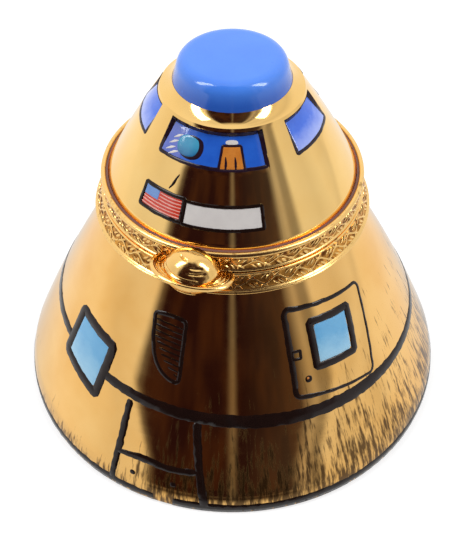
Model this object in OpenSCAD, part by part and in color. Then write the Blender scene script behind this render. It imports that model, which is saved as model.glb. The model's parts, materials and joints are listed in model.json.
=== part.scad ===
// Hinged porcelain trinket box in the shape of a conical space capsule.
// Two hollow porcelain shells, each mounted in an engraved brass band.
// A knuckle hinge joins the bands at the back (+Y), and a cast ringed-planet
// clasp hangs from the lid band over the base band at the front (-Y).
// Origin: centre of the underside. +Z is up. Millimetres.

/* [Base shell] */
// Radius of the base at its foot
base_r = 31; // [26:0.5:38]
// Height of the line where lid and base meet
seam_z = 33.3; // [28:0.5:42]
// Thickness of the base's porcelain wall
base_wall = 2.8; // [2:0.1:3.4]
// Thickness of the base's floor, above the foot recess
floor_t = 3; // [2.2:0.1:4]
// Depth of the recess inside the foot ring
foot_recess = 0.8; // [0.4:0.1:1.2]
// Width of the foot ring that the box stands on
foot_ring_w = 3.2; // [2.5:0.1:5]
// Slope of the wall just above the foot, from the vertical
base_slope = 23; // [18:1:28]
// Radius that turns the foot's upright edge into the sloping wall
foot_round = 8; // [5:0.5:10]
// Outer radius of the base's rim, inside its band
base_rim_r = 16.4; // [15:0.1:18]

/* [Lid shell] */
// How far the lid's rim lies inside the base's rim, all round
lid_step = 0.1; // [0:0.05:0.2]
// Height of the lid, from the seam to the top of the cap
lid_h = 19.8; // [17:0.1:24]
// Thickness of the lid's porcelain wall
lid_wall = 2.5; // [2:0.1:3]
// Slope of the lid's wall just above its band, from the vertical
lid_slope = 27.5; // [22:0.5:29]
// Outer radius of the collar round the cap
collar_r = 9.1; // [8.6:0.1:10]
// Height of the collar's rounded shoulder
collar_h = 1.3; // [1:0.05:1.6]
// How far the cap's foot lies inside the collar
cap_in = 1.7; // [1:0.05:2]
// How far the cap's flat top lies inside its foot
cap_round = 2.3; // [1.6:0.05:3]
// Height of the cap above the collar
cap_h = 3.2; // [2.6:0.1:4.2]

/* [Window recesses] */
// How far the windows' upper edge lies below the collar
window_drop = 0.25; // [0.2:0.05:1.5]
// Height of the windows
window_h = 3.85; // [2.5:0.05:5]
// Depth of a recess at its upper edge
window_depth = 0.6; // [0.3:0.1:1.2]

/* [Bands] */
// Height of the base band
base_band_h = 2.7; // [1.8:0.05:3]
// How far the base band's lower edge stands out of the base's rim
base_band_foot_out = 2.2; // [1.8:0.05:3]
// How far the base band stands out of that rim at the seam
base_band_out = 1.15; // [0.9:0.05:1.6]
// Height of the lid band
lid_band_h = 3; // [2:0.05:3.5]
// How far the lid band stands out of the lid's rim
lid_band_out = 1.1; // [0.9:0.05:1.6]
// Thickness of the flanges that cover the two porcelain rims
flange_t = 0.7; // [0.5:0.05:0.9]
// How far the mouth of the box lies inside the base's rim
bezel_in = 2.1; // [1.9:0.05:3]
// Thickness of that lip
bezel_t = 0.5; // [0.4:0.05:0.6]
// Height of that lip above the base band
bezel_h = 0.55; // [0.3:0.05:0.6]

/* [Hinge] */
// Outer radius of the knuckles
knuckle_r = 1.1; // [1:0.05:1.4]
// Radius of the hinge pin
pin_r = 0.45; // [0.35:0.05:0.6]
// Number of knuckles, the outer ones on the base
knuckle_count = 5; // [3:2:7]
// Length of one knuckle
knuckle_len = 2.1; // [1.6:0.1:3]
// Height of each leaf, where it is soldered to its band
leaf_h = 1.3; // [1:0.05:1.6]

/* [Clasp] */
// Radius of the cast globe, out from the box and up
globe_r = 3; // [2.6:0.1:3.4]
// Half the globe's length along its ring
globe_half_l = 3.55; // [3:0.05:3.6]
// Height of the globe's centre above the seam
globe_rise = 0.5; // [0:0.1:0.8]
// How far the globe's centre lies outside the lid band
globe_out = 0.7; // [0.5:0.1:1.2]
// Half the length of the globe's ring
ring_half_l = 5.3; // [4.6:0.1:6]
// How far the ring stands out from the globe's centre
ring_reach = 3.3; // [3.2:0.1:4.2]
// Thickness of the ring
ring_t = 0.6; // [0.4:0.05:0.9]
// Sideways tilt of the ring
ring_roll = 3.6; // [0:0.2:16]
// How much the ring's outer edge is tilted up
ring_dip = 3.4; // [0:0.2:16]
// Turn of the clasp round the box, away from the front, in degrees
clasp_turn = -0.8; // [-3:0.2:3]
// Radius of the catch bead on the base band
bead_r = 0.6; // [0.3:0.05:0.7]
// How far the bead stands out of the band
bead_proud = 0.15; // [0.1:0.01:0.18]

/* [Clearances] */
// Gap between the two bands when the lid is shut
seam_gap = 0.1; // [0.05:0.01:0.2]
// Gap between a porcelain rim and the band round it
mount_gap = 0.05; // [0.02:0.01:0.1]
// Gap between the hinge pin and its knuckles
pin_gap = 0.03; // [0.02:0.01:0.08]
// Gap between parts of the hinge that pass each other
hinge_gap = 0.2; // [0.15:0.01:0.3]
// Gap between the clasp and what it slides over
clasp_gap = 0.35; // [0.3:0.01:0.45]

/* [Hidden] */
$fn = 96;

// Windows round the lid, each [centre, width] in degrees, from the front towards +X
WINDOWS = [[1, 73], [79, 45], [146, 48], [216, 48], [286, 45]];

wall_steps = 14;
round_steps = 6;
overcut = 1;

lid_rim_r = base_rim_r - lid_step;
base_band_foot_r = base_rim_r + base_band_foot_out;
base_band_r = base_rim_r + base_band_out;
lid_band_r = lid_rim_r + lid_band_out;
bezel_r = base_rim_r - bezel_in;
cap_r = collar_r - cap_in;
cap_top_r = cap_r - cap_round;

seam_low = seam_z - seam_gap / 2;
seam_high = seam_z + seam_gap / 2;
base_band_z = seam_low - base_band_h;
base_rim_z = seam_low - flange_t;
lid_rim_z = seam_high + flange_t;
lid_band_top = seam_high + lid_band_h;
top_z = seam_z + lid_h;
cap_z = top_z - cap_h;
collar_z = cap_z - collar_h;
window_head_z = collar_z - window_drop;
window_sill_z = window_head_z - window_h;
// Edge below the foot's round, and the step from the wall in to the rim under the band
foot_edge = 0.5;
rim_step = 0.35;
rim_lap = 0.3;
lip_r = bezel_r + bezel_t;
// What is soldered to a band starts inside it, just outside its inner face
solder_r = max(base_rim_r, lid_rim_r) + 2 * mount_gap;

// Points on a quarter-like round from a to c with its corner at b
function rounded(a, b, c) = [
    for (i = [0 : round_steps])
        let (t = i / round_steps)
        (1 - t) * (1 - t) * a + 2 * t * (1 - t) * b + t * t * c
];

// A wall is one arc [foot, head, slope at the foot]. The turn is half the change of slope.
function wall_turn(w) = atan2(w[0][0] - w[1][0], w[1][1] - w[0][1]) - w[2];
function wall_slope(w, t) = w[2] + 2 * wall_turn(w) * t;
function wall_reach(w, t) =
    let (turn = wall_turn(w))
    norm(w[1] - w[0]) * (abs(turn) < 0.01 ? t : sin(turn * t) / sin(turn));
// Point at share t of the wall, moved inwards by inset
function wall_at(w, t, inset = 0) =
    let (lean = w[2] + wall_turn(w) * t, a = wall_slope(w, t))
    w[0] + wall_reach(w, t) * [-sin(lean), cos(lean)] - inset * [cos(a), sin(a)];
function wall_line(w, from, to, inset = 0) = [
    for (i = [0 : wall_steps]) wall_at(w, from + (to - from) * i / wall_steps, inset)
];
// Share of the wall at which it reaches height z, near enough for a nearly straight wall
function wall_share(w, z) = (z - w[0][1]) / (w[1][1] - w[0][1]);

base_wall_line = [
    [base_r - foot_round * (1 - cos(base_slope)), foot_edge + foot_round * sin(base_slope)],
    [base_rim_r + rim_step, base_band_z - rim_step],
    base_slope
];
lid_wall_line = [[lid_rim_r, lid_band_top], [collar_r, collar_z], lid_slope];

foot_inner_r = base_r - foot_edge - foot_ring_w;
floor_z = foot_recess + floor_t;
floor_turn = 4;
floor_share = 0.12;
floor_corner = wall_at(base_wall_line, 0.02, base_wall)[0];

dome_share = 0.72;
dome_top = top_z - lid_wall;

module base_profile() {
    wall_foot = wall_at(base_wall_line, floor_share, base_wall);
    polygon(concat(
        [[0, foot_recess], [foot_inner_r - foot_recess, foot_recess], [foot_inner_r, 0]],
        [[base_r - foot_edge, 0], [base_r, foot_edge]],
        [for (i = [1 : round_steps]) let (a = base_slope * i / round_steps)
            [base_r - foot_round * (1 - cos(a)), foot_edge + foot_round * sin(a)]],
        [for (i = [1 : wall_steps]) wall_at(base_wall_line, i / wall_steps)],
        [[base_rim_r, base_band_z], [base_rim_r, base_rim_z]],
        [[base_rim_r + rim_lap - base_wall, base_rim_z]],
        wall_line(base_wall_line, 0.96, floor_share, base_wall),
        rounded(wall_foot, [floor_corner, floor_z], [floor_corner - floor_turn, floor_z]),
        [[0, floor_z]]
    ));
}

module base_shell() {
    color("goldenrod")
    rotate_extrude()
    base_profile();
}

module lid_profile() {
    dome_foot = wall_at(lid_wall_line, dome_share, lid_wall);
    polygon(concat(
        [[lid_rim_r - lid_wall, lid_rim_z], [lid_rim_r, lid_rim_z]],
        wall_line(lid_wall_line, 0, 1),
        rounded([collar_r - 0.1, collar_z + 0.2], [collar_r - 0.35, collar_z + 0.75], [cap_r, cap_z]),
        rounded([cap_r - 0.5, cap_z + cap_h * 0.5], [cap_r - 0.75, top_z - 0.1], [cap_top_r, top_z - 0.1]),
        [[0, top_z]],
        rounded([0, dome_top], [cap_r - lid_wall, dome_top], dome_foot),
        wall_line(lid_wall_line, dome_share - 0.04, 0.02, lid_wall)
    ));
}

// Wedge of a ring that sinks a window: flush at its sill, deepest at its head
module window_cutter(centre, width) {
    sill = wall_share(lid_wall_line, window_sill_z);
    head = wall_share(lid_wall_line, window_head_z);
    rotate([0, 0, centre - width / 2 - 90])
    rotate_extrude(angle = width)
    polygon([
        wall_at(lid_wall_line, sill, 0),
        wall_at(lid_wall_line, head, window_depth),
        wall_at(lid_wall_line, head, -overcut),
        wall_at(lid_wall_line, sill, -overcut)
    ]);
}

module lid_shell() {
    color("goldenrod")
    difference() {
        rotate_extrude() lid_profile();
        for (w = WINDOWS) window_cutter(w[0], w[1]);
    }
}

module base_band_solid() {
    rotate_extrude()
    polygon([
        [base_rim_r + mount_gap, base_band_z],
        [base_band_foot_r, base_band_z + 0.2],
        [base_band_foot_r, base_band_z + 0.4],
        [base_band_r, seam_low - 0.2],
        [base_band_r, seam_low],
        [lip_r, seam_low],
        [lip_r, seam_low + bezel_h],
        [bezel_r, seam_low + bezel_h],
        [bezel_r, base_rim_z],
        [base_rim_r + mount_gap, base_rim_z]
    ]);
}

module lid_band_solid() {
    rotate_extrude()
    polygon([
        [lip_r + hinge_gap, seam_high],
        [lid_band_r, seam_high],
        [lid_band_r, lid_band_top - 0.2],
        [lid_band_r - 0.2, lid_band_top],
        [lid_rim_r + mount_gap, lid_band_top],
        [lid_rim_r + mount_gap, lid_rim_z],
        [lip_r + hinge_gap, lid_rim_z]
    ]);
}

module base_band() {
    color("gold") base_band_solid();
}

module lid_band() {
    color("gold") lid_band_solid();
}

// The knuckles' axis stands off the base band's sloping face by their radius and a gap
band_face = [base_band_r - base_band_foot_r, base_band_h - 0.6];
band_normal = [band_face[1], -band_face[0]] / norm(band_face);
hinge_y = base_band_foot_r
    + (knuckle_r + hinge_gap - (seam_z - base_band_z - 0.4) * band_normal[1]) / band_normal[0];
hinge_len = knuckle_count * knuckle_len;
pass_r = knuckle_r + hinge_gap;

// Knuckles of one leaf, every second one from first
module knuckles(first, r, extra = 0) {
    for (i = [first : 2 : knuckle_count - 1])
        translate([-hinge_len / 2 + i * knuckle_len + hinge_gap / 2 - extra, hinge_y, seam_z])
        rotate([0, 90, 0])
        cylinder(h = knuckle_len - hinge_gap + 2 * extra, r = r);
}

// Strip between a band and its knuckles, from height low to height high
module leaf(low, high) {
    translate([-hinge_len / 2 + hinge_gap / 2, solder_r, low])
    cube([hinge_len - hinge_gap, hinge_y - solder_r, high - low]);
}

module pin_bore() {
    translate([-hinge_len / 2 - overcut, hinge_y, seam_z])
    rotate([0, 90, 0])
    cylinder(h = hinge_len + 2 * overcut, r = pin_r + pin_gap);
}

module base_hinge() {
    color("gold")
    difference() {
        union() {
            knuckles(0, knuckle_r);
            leaf(seam_low - leaf_h, seam_low);
        }
        pin_bore();
        knuckles(1, pass_r, hinge_gap);
        base_band_solid();
        lid_band_solid();
    }
}

module lid_hinge() {
    color("gold")
    difference() {
        union() {
            knuckles(1, knuckle_r);
            leaf(seam_high, seam_high + leaf_h);
        }
        pin_bore();
        knuckles(0, pass_r, hinge_gap);
        lid_band_solid();
        base_band_solid();
    }
}

module hinge_pin() {
    color("darkgoldenrod")
    translate([-hinge_len / 2, hinge_y, seam_z])
    rotate([0, 90, 0])
    cylinder(h = hinge_len, r = pin_r);
}

globe_y = lid_band_r + globe_out;
globe_z = seam_z + globe_rise;

// What the clasp keeps clear of, or is soldered to: the bands, and the shells next to them
module clasp_seat() {
    rotate_extrude()
    polygon([
        [0, seam_z - 2 * globe_r],
        [base_band_foot_r + clasp_gap, seam_z - 2 * globe_r],
        [base_band_foot_r + clasp_gap, base_band_z + 0.5],
        [base_band_r + clasp_gap, seam_low - 0.1],
        [base_band_r + clasp_gap, seam_high + clasp_gap],
        [lid_band_r, seam_high + clasp_gap],
        [lid_band_r, lid_band_top - 0.2],
        [lid_band_r - 0.2, lid_band_top],
        [lid_rim_r + clasp_gap, lid_band_top],
        [lid_rim_r + clasp_gap, seam_z + 2 * globe_r],
        [0, seam_z + 2 * globe_r]
    ]);
}

module globe() {
    rotate([0, 0, clasp_turn])
    translate([0, -globe_y, globe_z])
    rotate([-ring_dip, ring_roll, 0])
    scale([globe_half_l / globe_r, 1, 1])
    sphere(r = globe_r);
}

module clasp_planet() {
    color("gold")
    difference() {
        globe();
        clasp_seat();
    }
}

// Elliptical plate that lies tilted round the globe
module clasp_ring() {
    color("gold")
    difference() {
        rotate([0, 0, clasp_turn])
        translate([0, -globe_y, globe_z])
        rotate([-ring_dip, ring_roll, 0])
        linear_extrude(height = ring_t, center = true)
        polygon([for (i = [0 : 59]) [ring_half_l * cos(6 * i), ring_reach * sin(6 * i)]]);
        globe();
        clasp_seat();
    }
}

// Stud on the base band that the planet's back springs over, square to the band's face
module catch_bead() {
    bead_len = 1;
    color("gold")
    difference() {
        translate([0, -(base_band_foot_r + base_band_r) / 2, base_band_z + 0.4 + band_face[1] / 2])
        rotate([atan2(band_normal[0], band_normal[1]), 0, 0])
        translate([0, 0, bead_proud - bead_len])
        cylinder(h = bead_len, r = bead_r);
        base_band_solid();
    }
}

base_shell();
base_band();
base_hinge();
hinge_pin();
catch_bead();
lid_shell();
lid_band();
lid_hinge();
clasp_planet();
clasp_ring();
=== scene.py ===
"""Hinged porcelain trinket box in the shape of a space capsule: gilded, painted and mounted in brass."""

import json
import logging
import math
from dataclasses import dataclass, field
from enum import Enum
from typing import Callable, NamedTuple

import bmesh
import bpy
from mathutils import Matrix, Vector, noise

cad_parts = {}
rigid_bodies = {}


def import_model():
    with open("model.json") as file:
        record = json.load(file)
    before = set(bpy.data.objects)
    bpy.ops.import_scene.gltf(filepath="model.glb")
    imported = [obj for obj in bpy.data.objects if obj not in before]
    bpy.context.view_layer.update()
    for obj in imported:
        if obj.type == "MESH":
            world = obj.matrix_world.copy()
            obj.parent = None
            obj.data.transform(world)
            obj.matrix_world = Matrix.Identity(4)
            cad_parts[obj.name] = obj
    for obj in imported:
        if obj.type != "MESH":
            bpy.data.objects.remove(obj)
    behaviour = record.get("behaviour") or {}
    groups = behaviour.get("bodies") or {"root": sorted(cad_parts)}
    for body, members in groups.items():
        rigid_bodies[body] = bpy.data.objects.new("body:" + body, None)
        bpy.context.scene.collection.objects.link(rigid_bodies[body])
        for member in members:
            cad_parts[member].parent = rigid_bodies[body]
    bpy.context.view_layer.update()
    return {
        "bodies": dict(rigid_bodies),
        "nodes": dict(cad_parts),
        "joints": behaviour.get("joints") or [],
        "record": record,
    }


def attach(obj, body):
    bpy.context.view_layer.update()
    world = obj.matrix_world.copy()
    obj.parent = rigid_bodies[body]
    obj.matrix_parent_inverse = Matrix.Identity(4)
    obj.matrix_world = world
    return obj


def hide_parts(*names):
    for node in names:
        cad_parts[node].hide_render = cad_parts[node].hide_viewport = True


MM = 0.001
LOG = logging.getLogger("capsule_box")

Point = tuple[float, float]


class Body(Enum):
    """The two bodies that the hinge joins."""

    BASE = "base"
    LID = "lid"


class Slot(Enum):
    """Material slots of the record."""

    GILDING = "gilded_porcelain"
    BRASS = "gilt_brass"
    BLUE = "blue_enamel"
    DARK = "dark_enamel"
    LIGHT = "light_enamel"
    RED = "red_enamel"


# ---------------------------------------------------------------- nodes and colours


def colour(code: str) -> tuple[float, float, float, float]:
    """Turns an sRGB hex colour to linear.

    Args:
        code: Six hex digits.

    Returns:
        Linear red, green, blue and an alpha of 1.
    """
    parts = [int(code[i : i + 2], 16) / 255 for i in (0, 2, 4)]
    linear = [c / 12.92 if c <= 0.04045 else ((c + 0.055) / 1.055) ** 2.4 for c in parts]
    return (linear[0], linear[1], linear[2], 1.0)


def add(
    tree: bpy.types.NodeTree, kind: str, settings: dict | None = None, links: dict | None = None
) -> bpy.types.Node:
    """Adds one node with its settings and links.

    Args:
        tree: Tree that gets the node.
        kind: Node type.
        settings: Node properties by name.
        links: Values, or output sockets to link, by input name or number.

    Returns:
        The new node.
    """
    node = tree.nodes.new(kind)
    for key, value in (settings or {}).items():
        setattr(node, key, value)
    for key, value in (links or {}).items():
        if isinstance(value, bpy.types.NodeSocket):
            tree.links.new(value, node.inputs[key])
        else:
            node.inputs[key].default_value = value
    return node


def ramp(
    tree: bpy.types.NodeTree, factor: bpy.types.NodeSocket, stops: list[tuple[float, tuple]]
) -> bpy.types.NodeSocket:
    """Adds a colour ramp with its stops.

    Args:
        tree: Tree that gets the ramp.
        factor: Socket that drives it.
        stops: Position and linear colour of each stop, in order.

    Returns:
        The ramp's colour output.
    """
    node = add(tree, "ShaderNodeValToRGB", links={"Fac": factor})
    elements = node.color_ramp.elements
    while len(elements) < len(stops):
        elements.new(0.5)
    for element, (position, _) in zip(elements, stops):
        element.position = position
    for element, (_, value) in zip(elements, stops):
        element.color = value
    return node.outputs["Color"]


def grey(level: float) -> tuple[float, float, float, float]:
    """Linear grey of one level, as a ramp stop."""
    return (level, level, level, 1.0)


def noise_of(
    tree: bpy.types.NodeTree, vector: bpy.types.NodeSocket, size_mm: float, detail: float = 3.0
) -> bpy.types.NodeSocket:
    """Adds noise whose lumps have a real size.

    Args:
        tree: Tree that gets the noise.
        vector: Coordinates in metres.
        size_mm: Size of one lump.
        detail: Octaves.

    Returns:
        The noise's factor.
    """
    node = add(
        tree,
        "ShaderNodeTexNoise",
        links={"Vector": vector, "Scale": 1 / (size_mm * MM), "Detail": detail, "Roughness": 0.55},
    )
    return node.outputs["Fac"]


def math_of(tree: bpy.types.NodeTree, operation: str, *values: object) -> bpy.types.NodeSocket:
    """Adds a math node on numbers or sockets and returns its output."""
    links = dict(enumerate(values))
    return add(tree, "ShaderNodeMath", {"operation": operation}, links).outputs[0]


def mix_of(tree: bpy.types.NodeTree, factor: object, first: object, second: object) -> bpy.types.NodeSocket:
    """Adds a colour mix from first to second and returns its output."""
    node = add(tree, "ShaderNodeMix", {"data_type": "RGBA"})
    for key, value in ((0, factor), (6, first), (7, second)):
        if isinstance(value, bpy.types.NodeSocket):
            tree.links.new(value, node.inputs[key])
        else:
            node.inputs[key].default_value = value
    return node.outputs[2]


# ---------------------------------------------------------------- finishes


@dataclass(frozen=True)
class Finish:
    """A finish: one material, made once.

    Attributes:
        name: Name of the material.
        tint: Main colour, sRGB hex.
        roughness: Roughness of the bare surface.
    """

    name: str
    tint: str
    roughness: float

    def material(self) -> bpy.types.Material:
        """The finish's material, which is made at its first use."""
        found = bpy.data.materials.get(self.name)
        if found:
            return found
        made = bpy.data.materials.new(self.name)
        made.use_nodes = True
        tree = made.node_tree
        shader = tree.nodes["Principled BSDF"]
        shader.inputs["Base Color"].default_value = colour(self.tint)
        shader.inputs["Roughness"].default_value = self.roughness
        made.diffuse_color = colour(self.tint)
        self.dress(tree, shader, add(tree, "ShaderNodeTexCoord"))
        return made

    def dress(self, tree: bpy.types.NodeTree, shader: bpy.types.Node, place: bpy.types.Node) -> None:
        """Adds what sets the finish apart.

        Args:
            tree: The material's tree.
            shader: Its Principled BSDF.
            place: Its texture coordinates.
        """
        raise NotImplementedError


def bump(
    tree: bpy.types.NodeTree,
    shader: bpy.types.Node,
    height: bpy.types.NodeSocket,
    depth_mm: float,
    strength: float,
) -> None:
    """Bumps a shader.

    Args:
        tree: The material's tree.
        shader: The shader that gets the normal.
        height: Height from 0 to 1.
        depth_mm: Depth that a height of 1 stands for.
        strength: Strength of the effect.
    """
    node = add(
        tree, "ShaderNodeBump", links={"Height": height, "Distance": depth_mm * MM, "Strength": strength}
    )
    tree.links.new(node.outputs["Normal"], shader.inputs["Normal"])


@dataclass(frozen=True)
class GoldLustre(Finish):
    """Bright gold lustre, brushed on glazed porcelain and fired: a mirror, warm and a little wavy.

    The brush leaves faint level bands in its roughness, the glaze below gives it long soft waves, and thin
    places show redder. Streaks of brown-black pigment are dragged up it from the foot with a dry brush.

    Attributes:
        deep: Colour where the film is thick.
        pigment: Colour of the dragged pigment.
        streaked: True on the base, which has the dragged pigment.
    """

    deep: str = "EFB662"
    pigment: str = "3E2613"
    streaked: bool = False

    def dress(self, tree: bpy.types.NodeTree, shader: bpy.types.Node, place: bpy.types.Node) -> None:
        """Adds the film's tone, its brush bands, its waves and, on the base, the dragged pigment."""
        spot = place.outputs["Object"]
        cloud = noise_of(tree, spot, 9.0)
        film = mix_of(tree, cloud, colour(self.tint), colour(self.deep))
        levels = add(tree, "ShaderNodeMapping", links={"Vector": spot, "Scale": (0.25, 0.25, 4.0)})
        brushed = noise_of(tree, levels.outputs[0], 4.0, 5.0)
        rough = add(
            tree,
            "ShaderNodeMapRange",
            links={
                "Value": brushed,
                "From Min": 0.3,
                "From Max": 0.75,
                "To Min": self.roughness,
                "To Max": 0.11,
            },
        ).outputs[0]
        shader.inputs["Metallic"].default_value = 1.0
        waves = math_of(
            tree, "ADD", noise_of(tree, spot, 6.0, 1.0), math_of(tree, "MULTIPLY", brushed, 0.12)
        )
        if self.streaked:
            mask = self.streaks(tree, spot)
            film = mix_of(tree, mask, film, colour(self.pigment))
            rough = math_of(tree, "ADD", rough, math_of(tree, "MULTIPLY", mask, 0.03))
            tree.links.new(math_of(tree, "MULTIPLY_ADD", mask, -0.15, 1.0), shader.inputs["Metallic"])
        tree.links.new(film, shader.inputs["Base Color"])
        tree.links.new(rough, shader.inputs["Roughness"])
        bump(tree, shader, waves, 0.05, 0.35)

    def streaks(self, tree: bpy.types.NodeTree, spot: bpy.types.NodeSocket) -> bpy.types.NodeSocket:
        """Mask of the dragged pigment: bristle lines 0.5 mm wide that rise from the foot and fray out.

        Args:
            tree: The material's tree.
            spot: Object coordinates.

        Returns:
            A mask from 0, bare gold, to 1, pigment.
        """
        part = add(tree, "ShaderNodeSeparateXYZ", links={"Vector": spot})
        x, y, z = part.outputs
        turn = math_of(tree, "ARCTAN2", x, math_of(tree, "MULTIPLY", y, -1.0))
        height = math_of(tree, "DIVIDE", z, MM)
        bristle = add(
            tree, "ShaderNodeCombineXYZ", links={
                "X": math_of(tree, "MULTIPLY", turn, 24.0), "Y": math_of(tree, "MULTIPLY", height, 0.13)
            }
        )
        fine = add(
            tree,
            "ShaderNodeTexNoise",
            {"noise_dimensions": "2D"},
            {"Vector": bristle.outputs[0], "Scale": 2.1, "Detail": 3.0, "Roughness": 0.65},
        )
        tuft = add(
            tree,
            "ShaderNodeTexNoise",
            {"noise_dimensions": "2D"},
            {"Vector": bristle.outputs[0], "Scale": 0.34, "Detail": 2.0},
        )
        # Share of the way round at which the pigment starts, is full and ends
        side = ramp(
            tree,
            math_of(tree, "ADD", math_of(tree, "DIVIDE", turn, math.tau), 0.5),
            [
                (0.0, grey(0.45)),
                (0.30, grey(0.15)),
                (0.45, grey(0.2)),
                (0.5, grey(0.6)),
                (0.56, grey(0.9)),
                (0.72, grey(0.85)),
                (0.76, grey(0.95)),
                (0.9, grey(1.0)),
                (1.0, grey(0.45)),
            ],
        )
        reach = math_of(tree, "MULTIPLY", math_of(tree, "MULTIPLY", side, tuft.outputs["Fac"]), 34.0)
        fade = math_of(tree, "DIVIDE", height, math_of(tree, "ADD", reach, 1.0))
        level = math_of(tree, "SUBTRACT", fine.outputs["Fac"], math_of(tree, "MULTIPLY", fade, 0.32))
        mask = add(
            tree,
            "ShaderNodeMapRange",
            links={"Value": level, "From Min": 0.3, "From Max": 0.5, "To Min": 0.0, "To Max": 0.88},
        )
        return mask.outputs[0]


@dataclass(frozen=True)
class Glaze(Finish):
    """Clear glaze on white porcelain: milky, glass-smooth, with rare pinholes and faint kiln specks.

    Attributes:
        speck: Colour of the specks.
    """

    speck: str = "CFC8BC"

    def dress(self, tree: bpy.types.NodeTree, shader: bpy.types.Node, place: bpy.types.Node) -> None:
        """Adds the milky depth, the specks and the glaze's slow waves."""
        spot = place.outputs["Object"]
        cells = add(tree, "ShaderNodeTexVoronoi", links={"Vector": spot, "Scale": 1 / (2.4 * MM)})
        dots = ramp(tree, cells.outputs["Distance"], [(0.03, grey(1.0)), (0.06, grey(0.0))])
        tone = mix_of(tree, noise_of(tree, spot, 11.0), colour(self.tint), colour("EFE9DD"))
        tree.links.new(mix_of(tree, dots, tone, colour(self.speck)), shader.inputs["Base Color"])
        shader.inputs["IOR"].default_value = 1.52
        shader.inputs["Subsurface Weight"].default_value = 0.1
        shader.inputs["Subsurface Scale"].default_value = 0.6 * MM
        bump(tree, shader, noise_of(tree, spot, 5.0, 1.0), 0.04, 0.3)


@dataclass(frozen=True)
class Bisque(Finish):
    """Unglazed porcelain of the foot ring, sanded after firing: matt and slightly gritty."""

    def dress(self, tree: bpy.types.NodeTree, shader: bpy.types.Node, place: bpy.types.Node) -> None:
        """Adds the grit, drawn at 0.35 mm so that it shows, and the rub marks of use."""
        spot = place.outputs["Object"]
        rub = mix_of(tree, noise_of(tree, spot, 3.0, 5.0), colour(self.tint), colour("B9AD9B"))
        tree.links.new(rub, shader.inputs["Base Color"])
        bump(tree, shader, noise_of(tree, spot, 0.35, 2.0), 0.03, 0.5)


@dataclass(frozen=True)
class GiltBrass(Finish):
    """Stamped brass, gilded and polished: bright on what stands up, darker and rougher in the hollows.

    Attributes:
        hollow: Colour of the patina that polishing leaves in the hollows.
        patina: Share of the surface that the patina covers.
    """

    hollow: str = "6B3A12"
    patina: float = 0.25

    def dress(self, tree: bpy.types.NodeTree, shader: bpy.types.Node, place: bpy.types.Node) -> None:
        """Adds the patina, the polishing haze and the dints of handling."""
        spot = place.outputs["Object"]
        cloud = noise_of(tree, spot, 0.7, 4.0)
        cover = ramp(
            tree, cloud, [(0.62 - self.patina * 0.5, grey(0.0)), (0.85 - self.patina * 0.5, grey(1.0))]
        )
        tone = mix_of(tree, cover, colour(self.tint), colour(self.hollow))
        tree.links.new(tone, shader.inputs["Base Color"])
        rough = math_of(tree, "ADD", math_of(tree, "MULTIPLY", cover, 0.2), self.roughness)
        tree.links.new(rough, shader.inputs["Roughness"])
        shader.inputs["Metallic"].default_value = 1.0
        bump(tree, shader, noise_of(tree, spot, 0.45, 3.0), 0.02, 0.5)


@dataclass(frozen=True)
class Enamel(Finish):
    """Painted overglaze enamel: thin glossy colour with brush marks, fused to the glaze or the gold.

    Attributes:
        second: Colour of the thinner strokes.
        foot: Colour that it fades to at its lower edge, or none for an even coat.
        mark_mm: Spacing of the brush marks.
        speckle: How much of the pigment's fine grain shows.
        gloss: Share of a full glaze's shine, lower where the pigment is thick and dry.
    """

    second: str = "000000"
    foot: str | None = None
    mark_mm: float = 1.2
    speckle: float = 0.3
    gloss: float = 1.0

    def dress(self, tree: bpy.types.NodeTree, shader: bpy.types.Node, place: bpy.types.Node) -> None:
        """Adds brush marks, the pigment's grain, the fade to the lower edge and a glassy coat."""
        spot = place.outputs["Object"]
        marks = noise_of(tree, spot, self.mark_mm * 2, 4.0)
        tone = mix_of(tree, marks, colour(self.tint), colour(self.second))
        grain = noise_of(tree, spot, 0.22, 2.0)
        grained = ramp(tree, grain, [(0.55, grey(0.0)), (0.8, grey(self.speckle))])
        tone = mix_of(tree, grained, tone, colour(self.second))
        if self.foot:
            across = add(tree, "ShaderNodeSeparateXYZ", links={"Vector": place.outputs["UV"]})
            uneven = math_of(tree, "MULTIPLY", math_of(tree, "SUBTRACT", marks, 0.5), 0.5)
            level = math_of(tree, "ADD", across.outputs["Y"], uneven)
            fade = ramp(tree, level, [(0.1, grey(1.0)), (0.6, grey(0.0))])
            tone = mix_of(tree, fade, tone, colour(self.foot))
        tree.links.new(tone, shader.inputs["Base Color"])
        shader.inputs["IOR"].default_value = 1.28 + 0.22 * self.gloss
        shader.inputs["Coat Weight"].default_value = 0.3 * self.gloss
        shader.inputs["Coat Roughness"].default_value = 0.05
        bump(tree, shader, marks, 0.04, 0.25)


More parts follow.
